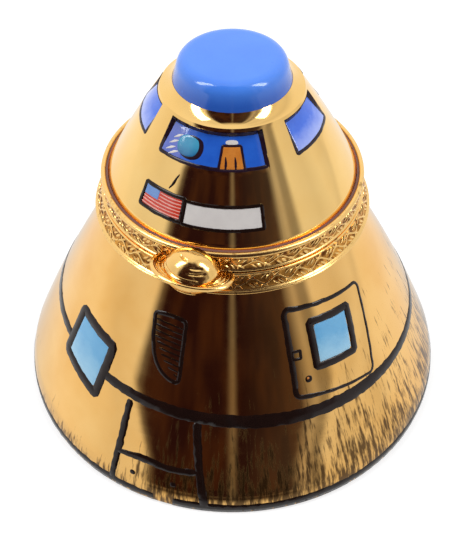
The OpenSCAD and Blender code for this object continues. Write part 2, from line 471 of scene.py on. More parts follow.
@dataclass(frozen=True)
class PaintedShadeEnamel(Enamel):
    """Thick opaque enamel on the cap, with specks, and painted shade that darkens it towards the cap's
    foot.

    Attributes:
        shade_colour: Colour of the painted shade at the cap's foot.
        low_mm: Height below which the painted shade is full.
        high_mm: Height above which there is no painted shade.
    """

    shade_colour: str = "2458BE"
    low_mm: float = 50.2
    high_mm: float = 52.4

    def dress(self, tree: bpy.types.NodeTree, shader: bpy.types.Node, place: bpy.types.Node) -> None:
        """Adds the enamel's own dress, then painted shade low down and rare dark specks."""
        super().dress(tree, shader, place)
        spot = place.outputs["Object"]
        tone = shader.inputs["Base Color"].links[0].from_socket
        height = add(tree, "ShaderNodeSeparateXYZ", links={"Vector": spot}).outputs["Z"]
        # Painted shade: the blue darkens towards the cap's foot, where less light falls
        share = add(
            tree,
            "ShaderNodeMapRange",
            {"interpolation_type": "SMOOTHSTEP"},
            {
                "Value": height,
                "From Min": self.high_mm * MM,
                "From Max": self.low_mm * MM,
                "To Min": 0.0,
                "To Max": 0.85,
            },
        ).outputs[0]
        tone = mix_of(tree, share, tone, colour(self.shade_colour))
        cells = add(tree, "ShaderNodeTexVoronoi", links={"Vector": spot, "Scale": 1 / (1.9 * MM)})
        dots = ramp(tree, cells.outputs["Distance"], [(0.05, grey(0.5)), (0.11, grey(0.0))])
        tree.links.new(mix_of(tree, dots, tone, colour(self.second)), shader.inputs["Base Color"])


GOLD_BASE = GoldLustre("gold_lustre_streaked", "FBD088", 0.045, "E6A952", streaked=True)
GOLD_LID = GoldLustre("gold_lustre", "FDD890", 0.045, "F0BE6C")
WHITE_GLAZE = Glaze("clear_glaze_on_white_porcelain", "F3EFE7", 0.07)
FOOT_BISQUE = Bisque("unglazed_foot", "DED6C7", 0.75)
BRASS_HIGH = GiltBrass("gilt_brass_polished", "F8CB7E", 0.2, patina=0.08)
BRASS_LOW = GiltBrass("gilt_brass_in_hollows", "D89C4A", 0.32, patina=0.4)
BRASS_CAST = GiltBrass("gilt_brass_cast", "F6C87A", 0.13, patina=0.05)
CEMENT = Enamel("brown_cement", "5B2C1C", 0.5, second="7C4630", mark_mm=0.8)
# The cap's enamel, darker towards its foot with painted shade
CAP_BLUE = PaintedShadeEnamel("cornflower_enamel", "4F8DF2", 0.13, second="3F7BE6", mark_mm=2.5, speckle=0.5)
ROYAL_BLUE = Enamel("royal_blue_enamel", "2D6CD6", 0.12, second="1C50BA", mark_mm=0.8)
SIDE_BLUE = Enamel("side_window_enamel", "4A80F0", 0.12, second="3060DC", foot="9FB0F4", mark_mm=0.8)
LAVENDER = Enamel("lavender_enamel", "7484D2", 0.12, second="4C60BC", mark_mm=0.8)
TURQUOISE = Enamel("turquoise_enamel", "4FA8C8", 0.12, second="2F86B4", foot="2A6FA0", mark_mm=0.6)
PANE_BLUE = Enamel("pane_enamel", "79BDE6", 0.12, second="58A6DC", foot="9CD0EE", mark_mm=1.4)
CANTON_BLUE = Enamel("light_blue_enamel", "7FA6DE", 0.14, second="5F88CC", mark_mm=0.5)
WHITE_PAINT = Enamel("white_enamel", "E4E0DC", 0.16, second="CFCAC8", mark_mm=1.0)
PINK_PAINT = Enamel("pale_pink_enamel", "F2B9AD", 0.16, second="E79A8C", mark_mm=0.5)
RED_PAINT = Enamel("iron_red_enamel", "DE4A34", 0.14, second="C4301F", mark_mm=0.5)
ORANGE_PAINT = Enamel("amber_enamel", "E0913C", 0.16, second="B5631E", mark_mm=0.6)
DARK_PAINT = Enamel("brown_black_enamel", "130B0A", 0.16, second="24140F", mark_mm=0.7, gloss=0.2)
PURPLE_PAINT = Enamel("purple_brown_enamel", "1B1020", 0.16, second="2C1A26", mark_mm=0.7, gloss=0.3)


# ---------------------------------------------------------------- lines and skins


def unit(angle: float) -> Point:
    """Cosine and sine of an angle in degrees."""
    return math.cos(math.radians(angle)), math.sin(math.radians(angle))


@dataclass(frozen=True)
class Wall:
    """A shell's wall as one arc, from its foot to its head.

    Attributes:
        foot: Radius and height of its foot, in mm.
        head: Radius and height of its head, in mm.
        slope: Slope from the vertical at its foot, in degrees.
    """

    foot: Point
    head: Point
    slope: float

    def at(self, share: float, inset: float = 0.0) -> Point:
        """Radius and height at a share of the wall.

        Args:
            share: 0 at the foot, 1 at the head.
            inset: How far inside the outer face, in mm.

        Returns:
            Radius and height in mm.
        """
        rise = (self.foot[0] - self.head[0], self.head[1] - self.foot[1])
        turn = math.degrees(math.atan2(*rise)) - self.slope
        reach = math.hypot(*rise) * math.sin(math.radians(turn * share)) / math.sin(math.radians(turn))
        lean = unit(self.slope + turn * share)
        face = unit(self.slope + 2 * turn * share)
        return (
            self.foot[0] - reach * lean[1] - inset * face[0],
            self.foot[1] + reach * lean[0] - inset * face[1],
        )

    def line(self, start: float, end: float, steps: int, inset: float = 0.0) -> list[Point]:
        """Points along the wall from one share to another."""
        return [self.at(start + (end - start) * i / steps, inset) for i in range(steps + 1)]


def rounded(a: Point, b: Point, c: Point, steps: int = 8) -> list[Point]:
    """Points on a round from a to c whose corner is b."""
    shares = [i / steps for i in range(steps + 1)]
    return [
        tuple(
            (1 - t) ** 2 * p + 2 * t * (1 - t) * q + t * t * r
            for p, q, r in zip(a, b, c)
        ) for t in shares
    ]


def polar(azimuth: float, radius: float, height: float) -> Vector:
    """Point in metres at an azimuth in degrees from the front towards +X, with radius and height in mm."""
    c, s = unit(azimuth)
    return Vector((radius * s * MM, -radius * c * MM, height * MM))


@dataclass
class Skin:
    """The outer line of a shell, from which painted work takes its place.

    Attributes:
        points: Radius and height along the line, from its lower end, in mm.
        sink: Depth of the surface below that line at an azimuth and height, in mm.
    """

    points: list[Point]
    sink: Callable[[float, float], float] = lambda azimuth, height: 0.0
    lengths: list[float] = field(init=False)

    def __post_init__(self) -> None:
        """Measures the line."""
        self.lengths = [0.0]
        for a, b in zip(self.points, self.points[1:]):
            self.lengths.append(self.lengths[-1] + math.dist(a, b))

    def length_at(self, height: float) -> float:
        """Length along the line at a height."""
        for i in range(len(self.points) - 1):
            low, high = self.points[i][1], self.points[i + 1][1]
            if height <= high or i == len(self.points) - 2:
                share = (height - low) / max(high - low, 1e-6)
                return self.lengths[i] + share * (self.lengths[i + 1] - self.lengths[i])
        return self.lengths[-1]

    def spot(self, length: float) -> tuple[float, float, Point]:
        """Place on the line.

        Args:
            length: Length along the line, in mm.

        Returns:
            Radius, height and the outward direction there.
        """
        i = 0
        while i < len(self.points) - 2 and self.lengths[i + 1] < length:
            i += 1
        (r0, z0), (r1, z1) = self.points[i], self.points[i + 1]
        span = self.lengths[i + 1] - self.lengths[i]
        share = (length - self.lengths[i]) / span
        return r0 + (r1 - r0) * share, z0 + (z1 - z0) * share, ((z1 - z0) / span, (r0 - r1) / span)

    def place(self, azimuth: float, length: float, lift: float) -> Vector:
        """Point in metres on the skin, lifted off it by a height in mm."""
        radius, height, out = self.spot(length)
        lift -= self.sink(azimuth, height)
        return polar(azimuth, radius + lift * out[0], height + lift * out[1])

    def degrees(self, across: float, length: float) -> float:
        """Turn in degrees that a width across in mm takes at a length along the line."""
        return math.degrees(across / self.spot(length)[0])


# ---------------------------------------------------------------- mesh work


@dataclass
class Cast:
    """A mesh in the making: vertices in metres, faces, their finish numbers and their UVs."""

    vertices: list[Vector] = field(default_factory=list)
    faces: list[tuple[int, ...]] = field(default_factory=list)
    numbers: list[int] = field(default_factory=list)
    uvs: dict[int, Point] = field(default_factory=dict)

    def add(self, point: Vector, uv: Point | None = None) -> int:
        """Adds a vertex and returns its number."""
        self.vertices.append(point)
        if uv:
            self.uvs[len(self.vertices) - 1] = uv
        return len(self.vertices) - 1

    def face(self, corners: list[int], number: int = 0) -> None:
        """Adds a face, unless its corners fall together."""
        kept = [c for i, c in enumerate(corners) if c != corners[i - 1]]
        if len(kept) >= 3:
            self.faces.append(tuple(kept))
            self.numbers.append(number)

    def loops(self, rings: list[list[int]], closed: bool = True, numbers: list[int] | None = None) -> None:
        """Joins rings of vertices in order.

        Args:
            rings: Rings with the same number of vertices each.
            closed: True if each ring closes on itself.
            numbers: Finish number of the faces after each ring.
        """
        count = len(rings[0])
        for k, (low, high) in enumerate(zip(rings, rings[1:])):
            for i in range(count if closed else count - 1):
                j = (i + 1) % count
                self.face([low[i], low[j], high[j], high[i]], numbers[k] if numbers else 0)

    def mesh(self, name: str, finishes: list[Finish], sharp: float = 40.0) -> bpy.types.Mesh:
        """Turns it into a mesh with its faces outwards.

        Args:
            name: Name of the mesh.
            finishes: Finishes by number.
            sharp: Angle in degrees above which an edge stays sharp.

        Returns:
            The mesh.
        """
        made = bpy.data.meshes.new(name)
        made.from_pydata([tuple(v) for v in self.vertices], [], self.faces)
        for finish in finishes:
            made.materials.append(finish.material())
        made.polygons.foreach_set("material_index", self.numbers)
        if self.uvs:
            layer = made.uv_layers.new(name="UVMap")
            for loop in made.loops:
                layer.data[loop.index].uv = self.uvs.get(loop.vertex_index, (0.5, 0.5))
        shape = bmesh.new()
        shape.from_mesh(made)
        bmesh.ops.remove_doubles(shape, verts=shape.verts, dist=1e-7)
        bmesh.ops.recalc_face_normals(shape, faces=shape.faces)
        if shape.calc_volume(signed=True) < 0:
            bmesh.ops.reverse_faces(shape, faces=shape.faces)
        shape.to_mesh(made)
        shape.free()
        made.shade_smooth()
        made.set_sharp_from_angle(angle=math.radians(sharp))
        return made


def piece(
    name: str, mesh: bpy.types.Mesh, body: Body, stands_for: tuple[str, ...] = ()
) -> bpy.types.Object:
    """Puts a mesh in the scene as a piece of the box.

    Args:
        name: Name of the piece.
        mesh: Its mesh, in place.
        body: Body that it moves with.
        stands_for: CAD nodes that it replaces.

    Returns:
        The piece's object.
    """
    made = bpy.data.objects.new(name, mesh)
    bpy.context.scene.collection.objects.link(made)
    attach(made, body.value)
    if stands_for:
        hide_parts(*stands_for)
    LOG.info("%s: %d faces", name, len(mesh.polygons))
    return made


def revolve(
    profile: list[Point],
    finishes: list[Finish],
    numbers: list[int] | None = None,
    steps: int = 192,
    sharp: float = 40.0,
) -> bpy.types.Mesh:
    """Turns a closed profile round the box's axis.

    Args:
        profile: Radius and height of its corners, in mm.
        finishes: Finishes by number.
        numbers: Finish number of each side of the profile.
        steps: Steps round the axis.
        sharp: Angle in degrees above which an edge stays sharp.

    Returns:
        The mesh.
    """
    cast = Cast()
    rings = []
    for radius, height in profile:
        if radius < 1e-6:
            rings.append([cast.add(polar(0, 0, height))] * steps)
        else:
            rings.append([cast.add(polar(360 * i / steps, radius, height)) for i in range(steps)])
    if profile[0][0] > 1e-6:
        rings.append(rings[0])
    cast.loops(rings, numbers=numbers)
    return cast.mesh("revolved", finishes, sharp)


# ---------------------------------------------------------------- painted work


@dataclass(frozen=True)
class Brush:
    """Paints enamel on a skin as thin closed films that follow it.

    Attributes:
        skin: Skin that is painted.
        body: Body that the work moves with.
        film: Thickness of a stroke in its middle, in mm.
    """

    skin: Skin
    body: Body
    film: float = 0.05

    def path(self, points: list[Point], step: float = 0.35, closed: bool = False) -> list[Point]:
        """Smooths and divides a path.

        Args:
            points: Azimuth and height of the path's points.
            step: Length of one division, in mm.
            closed: True if the path closes on itself.

        Returns:
            Azimuth and length along the skin, close together.
        """
        flat = [(a, self.skin.length_at(z)) for a, z in points]
        count = len(flat)
        made = []
        for i in range(count if closed else count - 1):
            near = [
                flat[(i + k) % count] if closed else flat[min(max(i + k, 0), count - 1)]
                for k in (-1, 0, 1, 2)
            ]
            before, size, after = (self.gap(a, b) for a, b in zip(near, near[1:]))
            steps = max(1, round(size / step))
            for k in range(steps):
                t = k / steps
                spot = []
                for p, q, r, s in zip(*near):
                    start = (r - p) * size / (before + size or 1)
                    end = (s - q) * size / (size + after or 1)
                    bend = start * (t - 2 * t * t + t**3) + end * (t**3 - t * t)
                    spot.append(q + (r - q) * (3 * t * t - 2 * t**3) + bend)
                made.append(tuple(spot))
        if not closed:
            made.append(flat[-1])
        return made

    def gap(self, a: Point, b: Point) -> float:
        """Distance in mm between two places, each an azimuth and a length along the skin."""
        return math.hypot(math.radians(b[0] - a[0]) * self.skin.spot(a[1])[0], b[1] - a[1])

    def loop(self, corners: list[Point], cut: float) -> list[Point]:
        """Points of a loop through corners that are rounded off.

        Args:
            corners: Azimuth and height of each corner.
            cut: Distance from a corner at which its round starts, in mm.

        Returns:
            Azimuth and height of the loop's points.
        """
        found = []
        for i, corner in enumerate(corners):
            sides = [corners[i - 1], corners[(i + 1) % len(corners)]]
            for other, k in ((sides[0], 1.0), (sides[0], 0.3), (sides[1], 0.3), (sides[1], 1.0)):
                radius = self.skin.spot(self.skin.length_at(corner[1]))[0]
                size = math.hypot(math.radians(other[0] - corner[0]) * radius, other[1] - corner[1])
                share = min(cut * k / size, 0.45)
                found.append(tuple(c + (o - c) * share for c, o in zip(corner, other)))
        return found

    def stroke(
        self,
        name: str,
        points: list[Point],
        width: float | list[float],
        finish: Finish,
        closed: bool = False,
        ragged: float = 0.16,
        lift: float = 0.0,
        slot: Slot = Slot.DARK,
    ) -> bpy.types.Object:
        """Paints a line.

        Args:
            name: Name of the piece.
            points: Azimuth and height of the line's points.
            width: Its width in mm, or its widths at even steps.
            finish: Its enamel.
            closed: True if it closes on itself.
            ragged: Share by which the brush's width wavers.
            lift: Height of the line above the skin, over other work.
            slot: Its material slot; not used.

        Returns:
            The piece's object.
        """
        cast = Cast()
        self.line(cast, points, width, closed, ragged, lift, len(name) * 7.3)
        return piece(name, cast.mesh(name, [finish], 60), self.body)

    def line(
        self,
        cast: Cast,
        points: list[Point],
        width: float | list[float],
        closed: bool,
        ragged: float,
        lift: float,
        seed: float,
    ) -> None:
        """Adds one line's film to a mesh in the making: stroke's arguments, and a seed for its waver."""
        widths = width if isinstance(width, list) else [width, width]
        track = self.path(points, closed=closed)
        rings = []
        for i, (turn, along) in enumerate(track):
            before = track[i - 1] if closed or i else track[0]
            after = track[(i + 1) % len(track)] if closed else track[min(i + 1, len(track) - 1)]
            radius = self.skin.spot(along)[0]
            du = math.radians(after[0] - before[0]) * radius
            dv = after[1] - before[1]
            size = math.hypot(du, dv) or 1.0
            share = i / max(len(track) - 1, 1) * (len(widths) - 1)
            k = min(int(share), len(widths) - 2)
            half = (widths[k] + (widths[k + 1] - widths[k]) * (share - k)) / 2
            ring = []
            for side, level in ((-1.1, -0.8), (-0.9, 0.75), (0, 1), (0.9, 0.75), (1.1, -0.8)):
                waver = 1 + ragged * noise.noise(Vector((i * 0.45 + seed, side * 3, seed)))
                if not closed and i in (0, len(track) - 1):
                    waver *= 0.55
                across = side * half * waver
                u, v = -dv / size * across, du / size * across
                ring.append(
                    cast.add(
                        self.skin.place(
                            turn + math.degrees(u / radius), along + v, level * self.film + lift
                        ),
                        (0.5 + side / 2, share / max(len(widths) - 1, 1)),
                    )
                )
            rings.append(ring)
        cast.loops(rings + ([rings[0]] if closed else []))
        if not closed:
            cast.face(rings[0])
            cast.face(rings[-1])

    def patch(
        self,
        name: str,
        corners: list[Point],
        finish: Finish,
        slot: Slot,
        lift: float = 0.0,
        bulge: float = 0.0,
        cells: int = 14,
    ) -> bpy.types.Object:
        """Paints an area with four corners.

        Args:
            name: Name of the piece.
            corners: Azimuth and height of its lower left, lower right, upper right and upper left corner.
            finish: Its enamel.
            slot: Its material slot; not used.
            lift: Height of the film above the skin, over other work.
            bulge: Share by which its sides swell outwards, 0.2 for a round.
            cells: Divisions each way.

        Returns:
            The piece's object.
        """
        cast = Cast()
        flat = [(a, self.skin.length_at(z)) for a, z in corners]
        sheets = []
        for top in (True, False):
            rows = []
            for j in range(cells + 1):
                row = []
                for i in range(cells + 1):
                    s, t = i / cells, j / cells
                    x, y = 2 * s - 1, 2 * t - 1
                    grow = 1 + bulge * (1 - max(abs(x), abs(y)) * (1 + x * x * y * y)) if bulge else 1.0
                    if bulge:
                        x, y = x * math.sqrt(1 - y * y / 2), y * math.sqrt(1 - x * x / 2)
                    s2, t2 = (x * grow + 1) / 2, (y * grow + 1) / 2
                    spot = [
                        (flat[0][k] * (1 - s2) + flat[1][k] * s2) * (1 - t2)
                        + (flat[3][k] * (1 - s2) + flat[2][k] * s2) * t2
                        for k in (0, 1)
                    ]
                    edge = i in (0, cells) or j in (0, cells)
                    level = -0.6 if edge else (0.8 if top else -0.8)
                    if not top and edge:
                        row.append(sheets[0][j][i])
                    else:
                        row.append(
                            cast.add(self.skin.place(spot[0], spot[1], level * self.film + lift), (s, t))
                        )
                rows.append(row)
            sheets.append(rows)
        for rows in sheets:
            cast.loops(rows, closed=False)
        return piece(name, cast.mesh(name, [finish], 70), self.body)


class Sizes(NamedTuple):
    """Sizes that pieces share, in mm."""

    base_r: float = 31.0
    base_rim_r: float = 16.4
    base_rim_z: float = 32.55
    base_band_z: float = 30.55
    lid_rim_r: float = 16.3
    lid_rim_z: float = 34.05
    lid_band_top: float = 36.35
    collar_r: float = 9.1
    collar_z: float = 48.6
    cap_r: float = 7.4
    cap_z: float = 49.9
    cap_top_r: float = 5.1
    top_z: float = 53.1


SIZES = Sizes()
BASE_WALL = Wall((30.364, 3.626), (16.75, 30.2), 23.0)
LID_WALL = Wall((SIZES.lid_rim_r, SIZES.lid_band_top), (SIZES.collar_r, SIZES.collar_z), 27.5)


class Window(NamedTuple):
    """A window of the lid.

    Attributes:
        name: Its name.
        centre: Azimuth of its middle, in degrees.
        width: Its width in degrees.
    """

    name: str
    centre: float
    width: float


WINDOWS = (
    Window("front", 1, 73),
    Window("right", 79, 45),
    Window("back_right", 146, 48),
    Window("back_left", 216, 48),
    Window("left", 286, 45),
)


@dataclass
class BaseShell:
    """The conical porcelain base, gilded outside, glazed white inside and under its foot.

    Attributes:
        wall: Thickness of its wall, in mm.
        floor_z: Height of its floor inside, in mm.
        foot_recess: Depth of the recess inside that ring, in mm.
    """

    wall: float = 2.8
    floor_z: float = 3.8
    foot_recess: float = 0.8

    def outside(self) -> list[Point]:
        """Outer line from the foot's edge to under the band."""
        edge = SIZES.base_r - 0.05
        arc = [unit(23.0 * i / 8) for i in range(1, 8)]
        curve = [(edge - 8 * (1 - c), 0.5 + 8 * s) for c, s in arc]
        return rounded((edge - 0.5, 0.0), (edge, 0.0), (edge, 0.5), 4) + curve + BASE_WALL.line(0, 1, 40)

    def build(self) -> Skin:
        """Builds the shell and returns its skin."""
        outside = self.outside()
        under = [(0.0, self.foot_recess), (20.0, self.foot_recess)]
        under += rounded((26.2, self.foot_recess), (26.7, self.foot_recess), (27.0, 0.4), 4)
        under += rounded((27.1, 0.25), (27.2, 0.0), (27.6, 0.0), 3)
        rim = [(SIZES.base_rim_r, SIZES.base_band_z), (SIZES.base_rim_r, SIZES.base_rim_z)]
        rim += [(13.95, SIZES.base_rim_z)]
        inside = BASE_WALL.line(0.96, 0.12, 30, self.wall)
        corner = BASE_WALL.at(0.02, self.wall)[0]
        inside += rounded(inside[-1], (corner, self.floor_z), (corner - 4, self.floor_z))[1:]
        inside += [(12.0, self.floor_z), (0.0, self.floor_z)]
        profile = under + outside + rim + inside
        numbers = [1] * (len(under) - 4) + [2] * 4 + [0] * (len(outside) + len(rim)) + [1] * len(inside)
        mesh = revolve(profile, [GOLD_BASE, WHITE_GLAZE, FOOT_BISQUE], numbers, steps=224)
        piece("base_porcelain", mesh, Body.BASE, ("base_shell",))
        return Skin(outside)


@dataclass
class LidShell:
    """The conical porcelain lid with five sunk windows and a blue cap.

    Attributes:
        wall: Thickness of its wall, in mm.
        sill: Height of the windows' lower edge, in mm.
        head: Height of their upper edge, in mm.
        depth: Depth of a window at its head, in mm.
        jamb: Turn in degrees over which a window's side falls.
        cap_film: Thickness of the cap's enamel, in mm.
    """

    wall: float = 2.5
    sill: float = 44.5
    head: float = 48.35
    depth: float = 0.6
    jamb: float = 0.7
    cap_film: float = 0.1

    def sink(self, azimuth: float, height: float) -> float:
        """Depth of the surface below the wall's line at an azimuth and height, in mm."""
        if not self.sill < height <= self.head + 0.001:
            return 0.0
        for window in WINDOWS:
            off = abs((azimuth - window.centre + 180) % 360 - 180)
            inside = min(max((window.width / 2 - off) / self.jamb, 0.0), 1.0)
            if inside > 0:
                return self.depth * inside * (height - self.sill) / (self.head - self.sill)
        return 0.0

    def turns(self) -> list[float]:
        """Azimuths of the mesh's columns, with two close ones at each side of a window."""
        found = {2.0 * i for i in range(180)}
        for window in WINDOWS:
            for side in (-1, 1):
                edge = window.centre + side * window.width / 2
                found = {t for t in found if abs((t - edge + 180) % 360 - 180) > 1.0}
                found |= {(edge - side * k * self.jamb) % 360 for k in (-0.15, 0.0, 0.5, 1.0, 1.2)}
        return sorted(found)

    def cap_line(self, inset: float) -> list[Point]:
        """Outer line of the cap, moved inwards, from its foot to its middle."""
        foot = (SIZES.cap_r - inset, SIZES.cap_z - 0.12)
        side = (SIZES.cap_r - 0.5 - inset, SIZES.cap_z + 1.6)
        corner = (SIZES.cap_r - 0.75 - inset, SIZES.top_z - 0.1 - inset)
        top = (SIZES.cap_top_r - inset / 2, SIZES.top_z - 0.1 - inset)
        return [foot] + rounded(side, corner, top, 12) + [
            (2.7, SIZES.top_z - 0.04 - inset), (0.0, SIZES.top_z - inset)
        ]

    def build(self) -> Skin:
        """Builds the shell and its cap, and returns the shell's skin."""
        rows = LID_WALL.line(0, 0.66, 16)
        rows += LID_WALL.line(0.675, 0.952, 12)
        rows += LID_WALL.line(0.964, 1, 3)
        rows = [
            p
            for p in rows if not (self.sill - 0.1 < p[1] < self.sill + 0.1 or abs(p[1] - self.head) < 0.12)
        ]
        rows += [self.on_wall(z) for z in (self.sill, self.sill + 0.1, self.head, self.head + 0.1)]
        rows.sort(key=lambda p: p[1])
        collar = rounded((9.0, 48.8), (8.1, 49.15), (SIZES.cap_r, SIZES.cap_z), 8)
        cap = self.cap_line(self.cap_film * 0.6)
        dome = rounded((0.0, 50.6), (SIZES.cap_r - self.wall, 50.6), LID_WALL.at(0.72, self.wall))
        inside = dome + LID_WALL.line(0.68, 0.02, 20, self.wall)
        rim = [(SIZES.lid_rim_r - self.wall, SIZES.lid_rim_z), (SIZES.lid_rim_r, SIZES.lid_rim_z)]
        profile = rim + rows + collar + cap + inside
        outer = len(rim) + len(rows) + len(collar) + len(cap)
        cast = Cast()
        turns = self.turns()
        rings = []
        for k, (radius, height) in enumerate(profile):
            if radius < 1e-6:
                rings.append([cast.add(polar(0, 0, height))] * len(turns))
                continue
            ring = []
            for turn in turns:
                low = self.sink(turn, height) if len(rim) <= k < outer else 0.0
                lean = unit(32.5)
                ring.append(cast.add(polar(turn, radius - low * lean[0], height - low * lean[1])))
            rings.append(ring)
        rings.append(rings[0])
        numbers = [0] * outer + [1] * (len(profile) - outer)
        cast.loops(rings, numbers=numbers)
        mesh = cast.mesh("lid", [GOLD_LID, WHITE_GLAZE], 32)
        piece("lid_porcelain", mesh, Body.LID, ("lid_shell",))
        outer_cap, inner_cap = self.cap_line(0.0), self.cap_line(self.cap_film)
        mesh = revolve(outer_cap + inner_cap[::-1], [CAP_BLUE], steps=160)
        piece("cap_enamel", mesh, Body.LID)
        return Skin(rows, self.sink)

    def on_wall(self, height: float) -> Point:
        """Point of the wall's outer line at a height."""
        low, high = 0.0, 1.0
        for _ in range(40):
            middle = (low + high) / 2
            if LID_WALL.at(middle)[1] < height:
                low = middle
            else:
                high = middle
        return LID_WALL.at(low)


# ---------------------------------------------------------------- brass mounts


class RingInput(Enum):
    """Named inputs of the tree that sets a motif round the box."""

    COUNT = "Count"
    WAVER = "Waver"
    SEED = "Seed"
    FINISH = "Finish"


@dataclass
class RingOfMotifs:
    """Geometry Nodes tree that sets one stamped motif round the box's axis many times."""

    name: str = "ring_of_motifs"

    def tree(self) -> bpy.types.NodeTree:
        """The tree, which is made at its first use."""
        found = bpy.data.node_groups.get(self.name)
        if found:
            return found
        tree = bpy.data.node_groups.new(self.name, "GeometryNodeTree")
        kinds = (
            ("Motif", "NodeSocketGeometry"),
            (RingInput.COUNT.value, "NodeSocketInt"),
            (RingInput.WAVER.value, "NodeSocketFloat"),
            (RingInput.SEED.value, "NodeSocketInt"),
            (RingInput.FINISH.value, "NodeSocketMaterial"),
        )
        for label, kind in kinds:
            tree.interface.new_socket(label, in_out="INPUT", socket_type=kind)
        tree.interface.new_socket("Ring", in_out="OUTPUT", socket_type="NodeSocketGeometry")
        given = add(tree, "NodeGroupInput")
        count = given.outputs[RingInput.COUNT.value]
        points = add(tree, "GeometryNodePoints", links={"Count": count})
        index = add(tree, "GeometryNodeInputIndex").outputs[0]
        waver = add(
            tree,
            "FunctionNodeRandomValue",
            {"data_type": "FLOAT"},
            {
                2: math_of(tree, "MULTIPLY", given.outputs[RingInput.WAVER.value], -1.0),
                3: given.outputs[RingInput.WAVER.value],
                "Seed": given.outputs[RingInput.SEED.value],
            },
        )
        share = math_of(tree, "DIVIDE", math_of(tree, "ADD", index, waver.outputs[1]), count)
        spin = add(tree, "ShaderNodeCombineXYZ", links={"Z": math_of(tree, "MULTIPLY", share, math.tau)})
        placed = add(
            tree,
            "GeometryNodeInstanceOnPoints",
            links={
                "Points": points.outputs[0], "Instance": given.outputs["Motif"], "Rotation": spin.outputs[0]
            },
        )
        real = add(tree, "GeometryNodeRealizeInstances", links={"Geometry": placed.outputs[0]})
        dressed = add(
            tree,
            "GeometryNodeSetMaterial",
            links={"Geometry": real.outputs[0], "Material": given.outputs[RingInput.FINISH.value]},
        )
        add(tree, "NodeGroupOutput", links={"Ring": dressed.outputs[0]})
        return tree

    def ring(
        self, motif: bpy.types.Mesh, count: int, waver: float, seed: int, finish: Finish
    ) -> bpy.types.Mesh:
        """Sets a motif round the axis.

        Args:
            motif: Mesh of one motif, in its place.
            count: How many there are.
            waver: Share of a step by which each is off its place.
            seed: Seed of that waver.
            finish: Finish of the ring.

        Returns:
            One plain mesh.
        """
        tree = self.tree()
        worker = bpy.data.objects.new("worker", motif)
        bpy.context.scene.collection.objects.link(worker)
        modifier = worker.modifiers.new("ring", "NODES")
        modifier.node_group = tree
        values = {
            RingInput.COUNT.value: count,
            RingInput.WAVER.value: waver,
            RingInput.SEED.value: seed,
            RingInput.FINISH.value: finish.material(),
        }
        for item in tree.interface.items_tree:
            if item.in_out == "INPUT" and item.name in values:
                modifier[item.identifier] = values[item.name]
        shown = worker.evaluated_get(bpy.context.evaluated_depsgraph_get())
        made = bpy.data.meshes.new_from_object(shown)
        bpy.data.objects.remove(worker)
        made.shade_smooth()
        return made


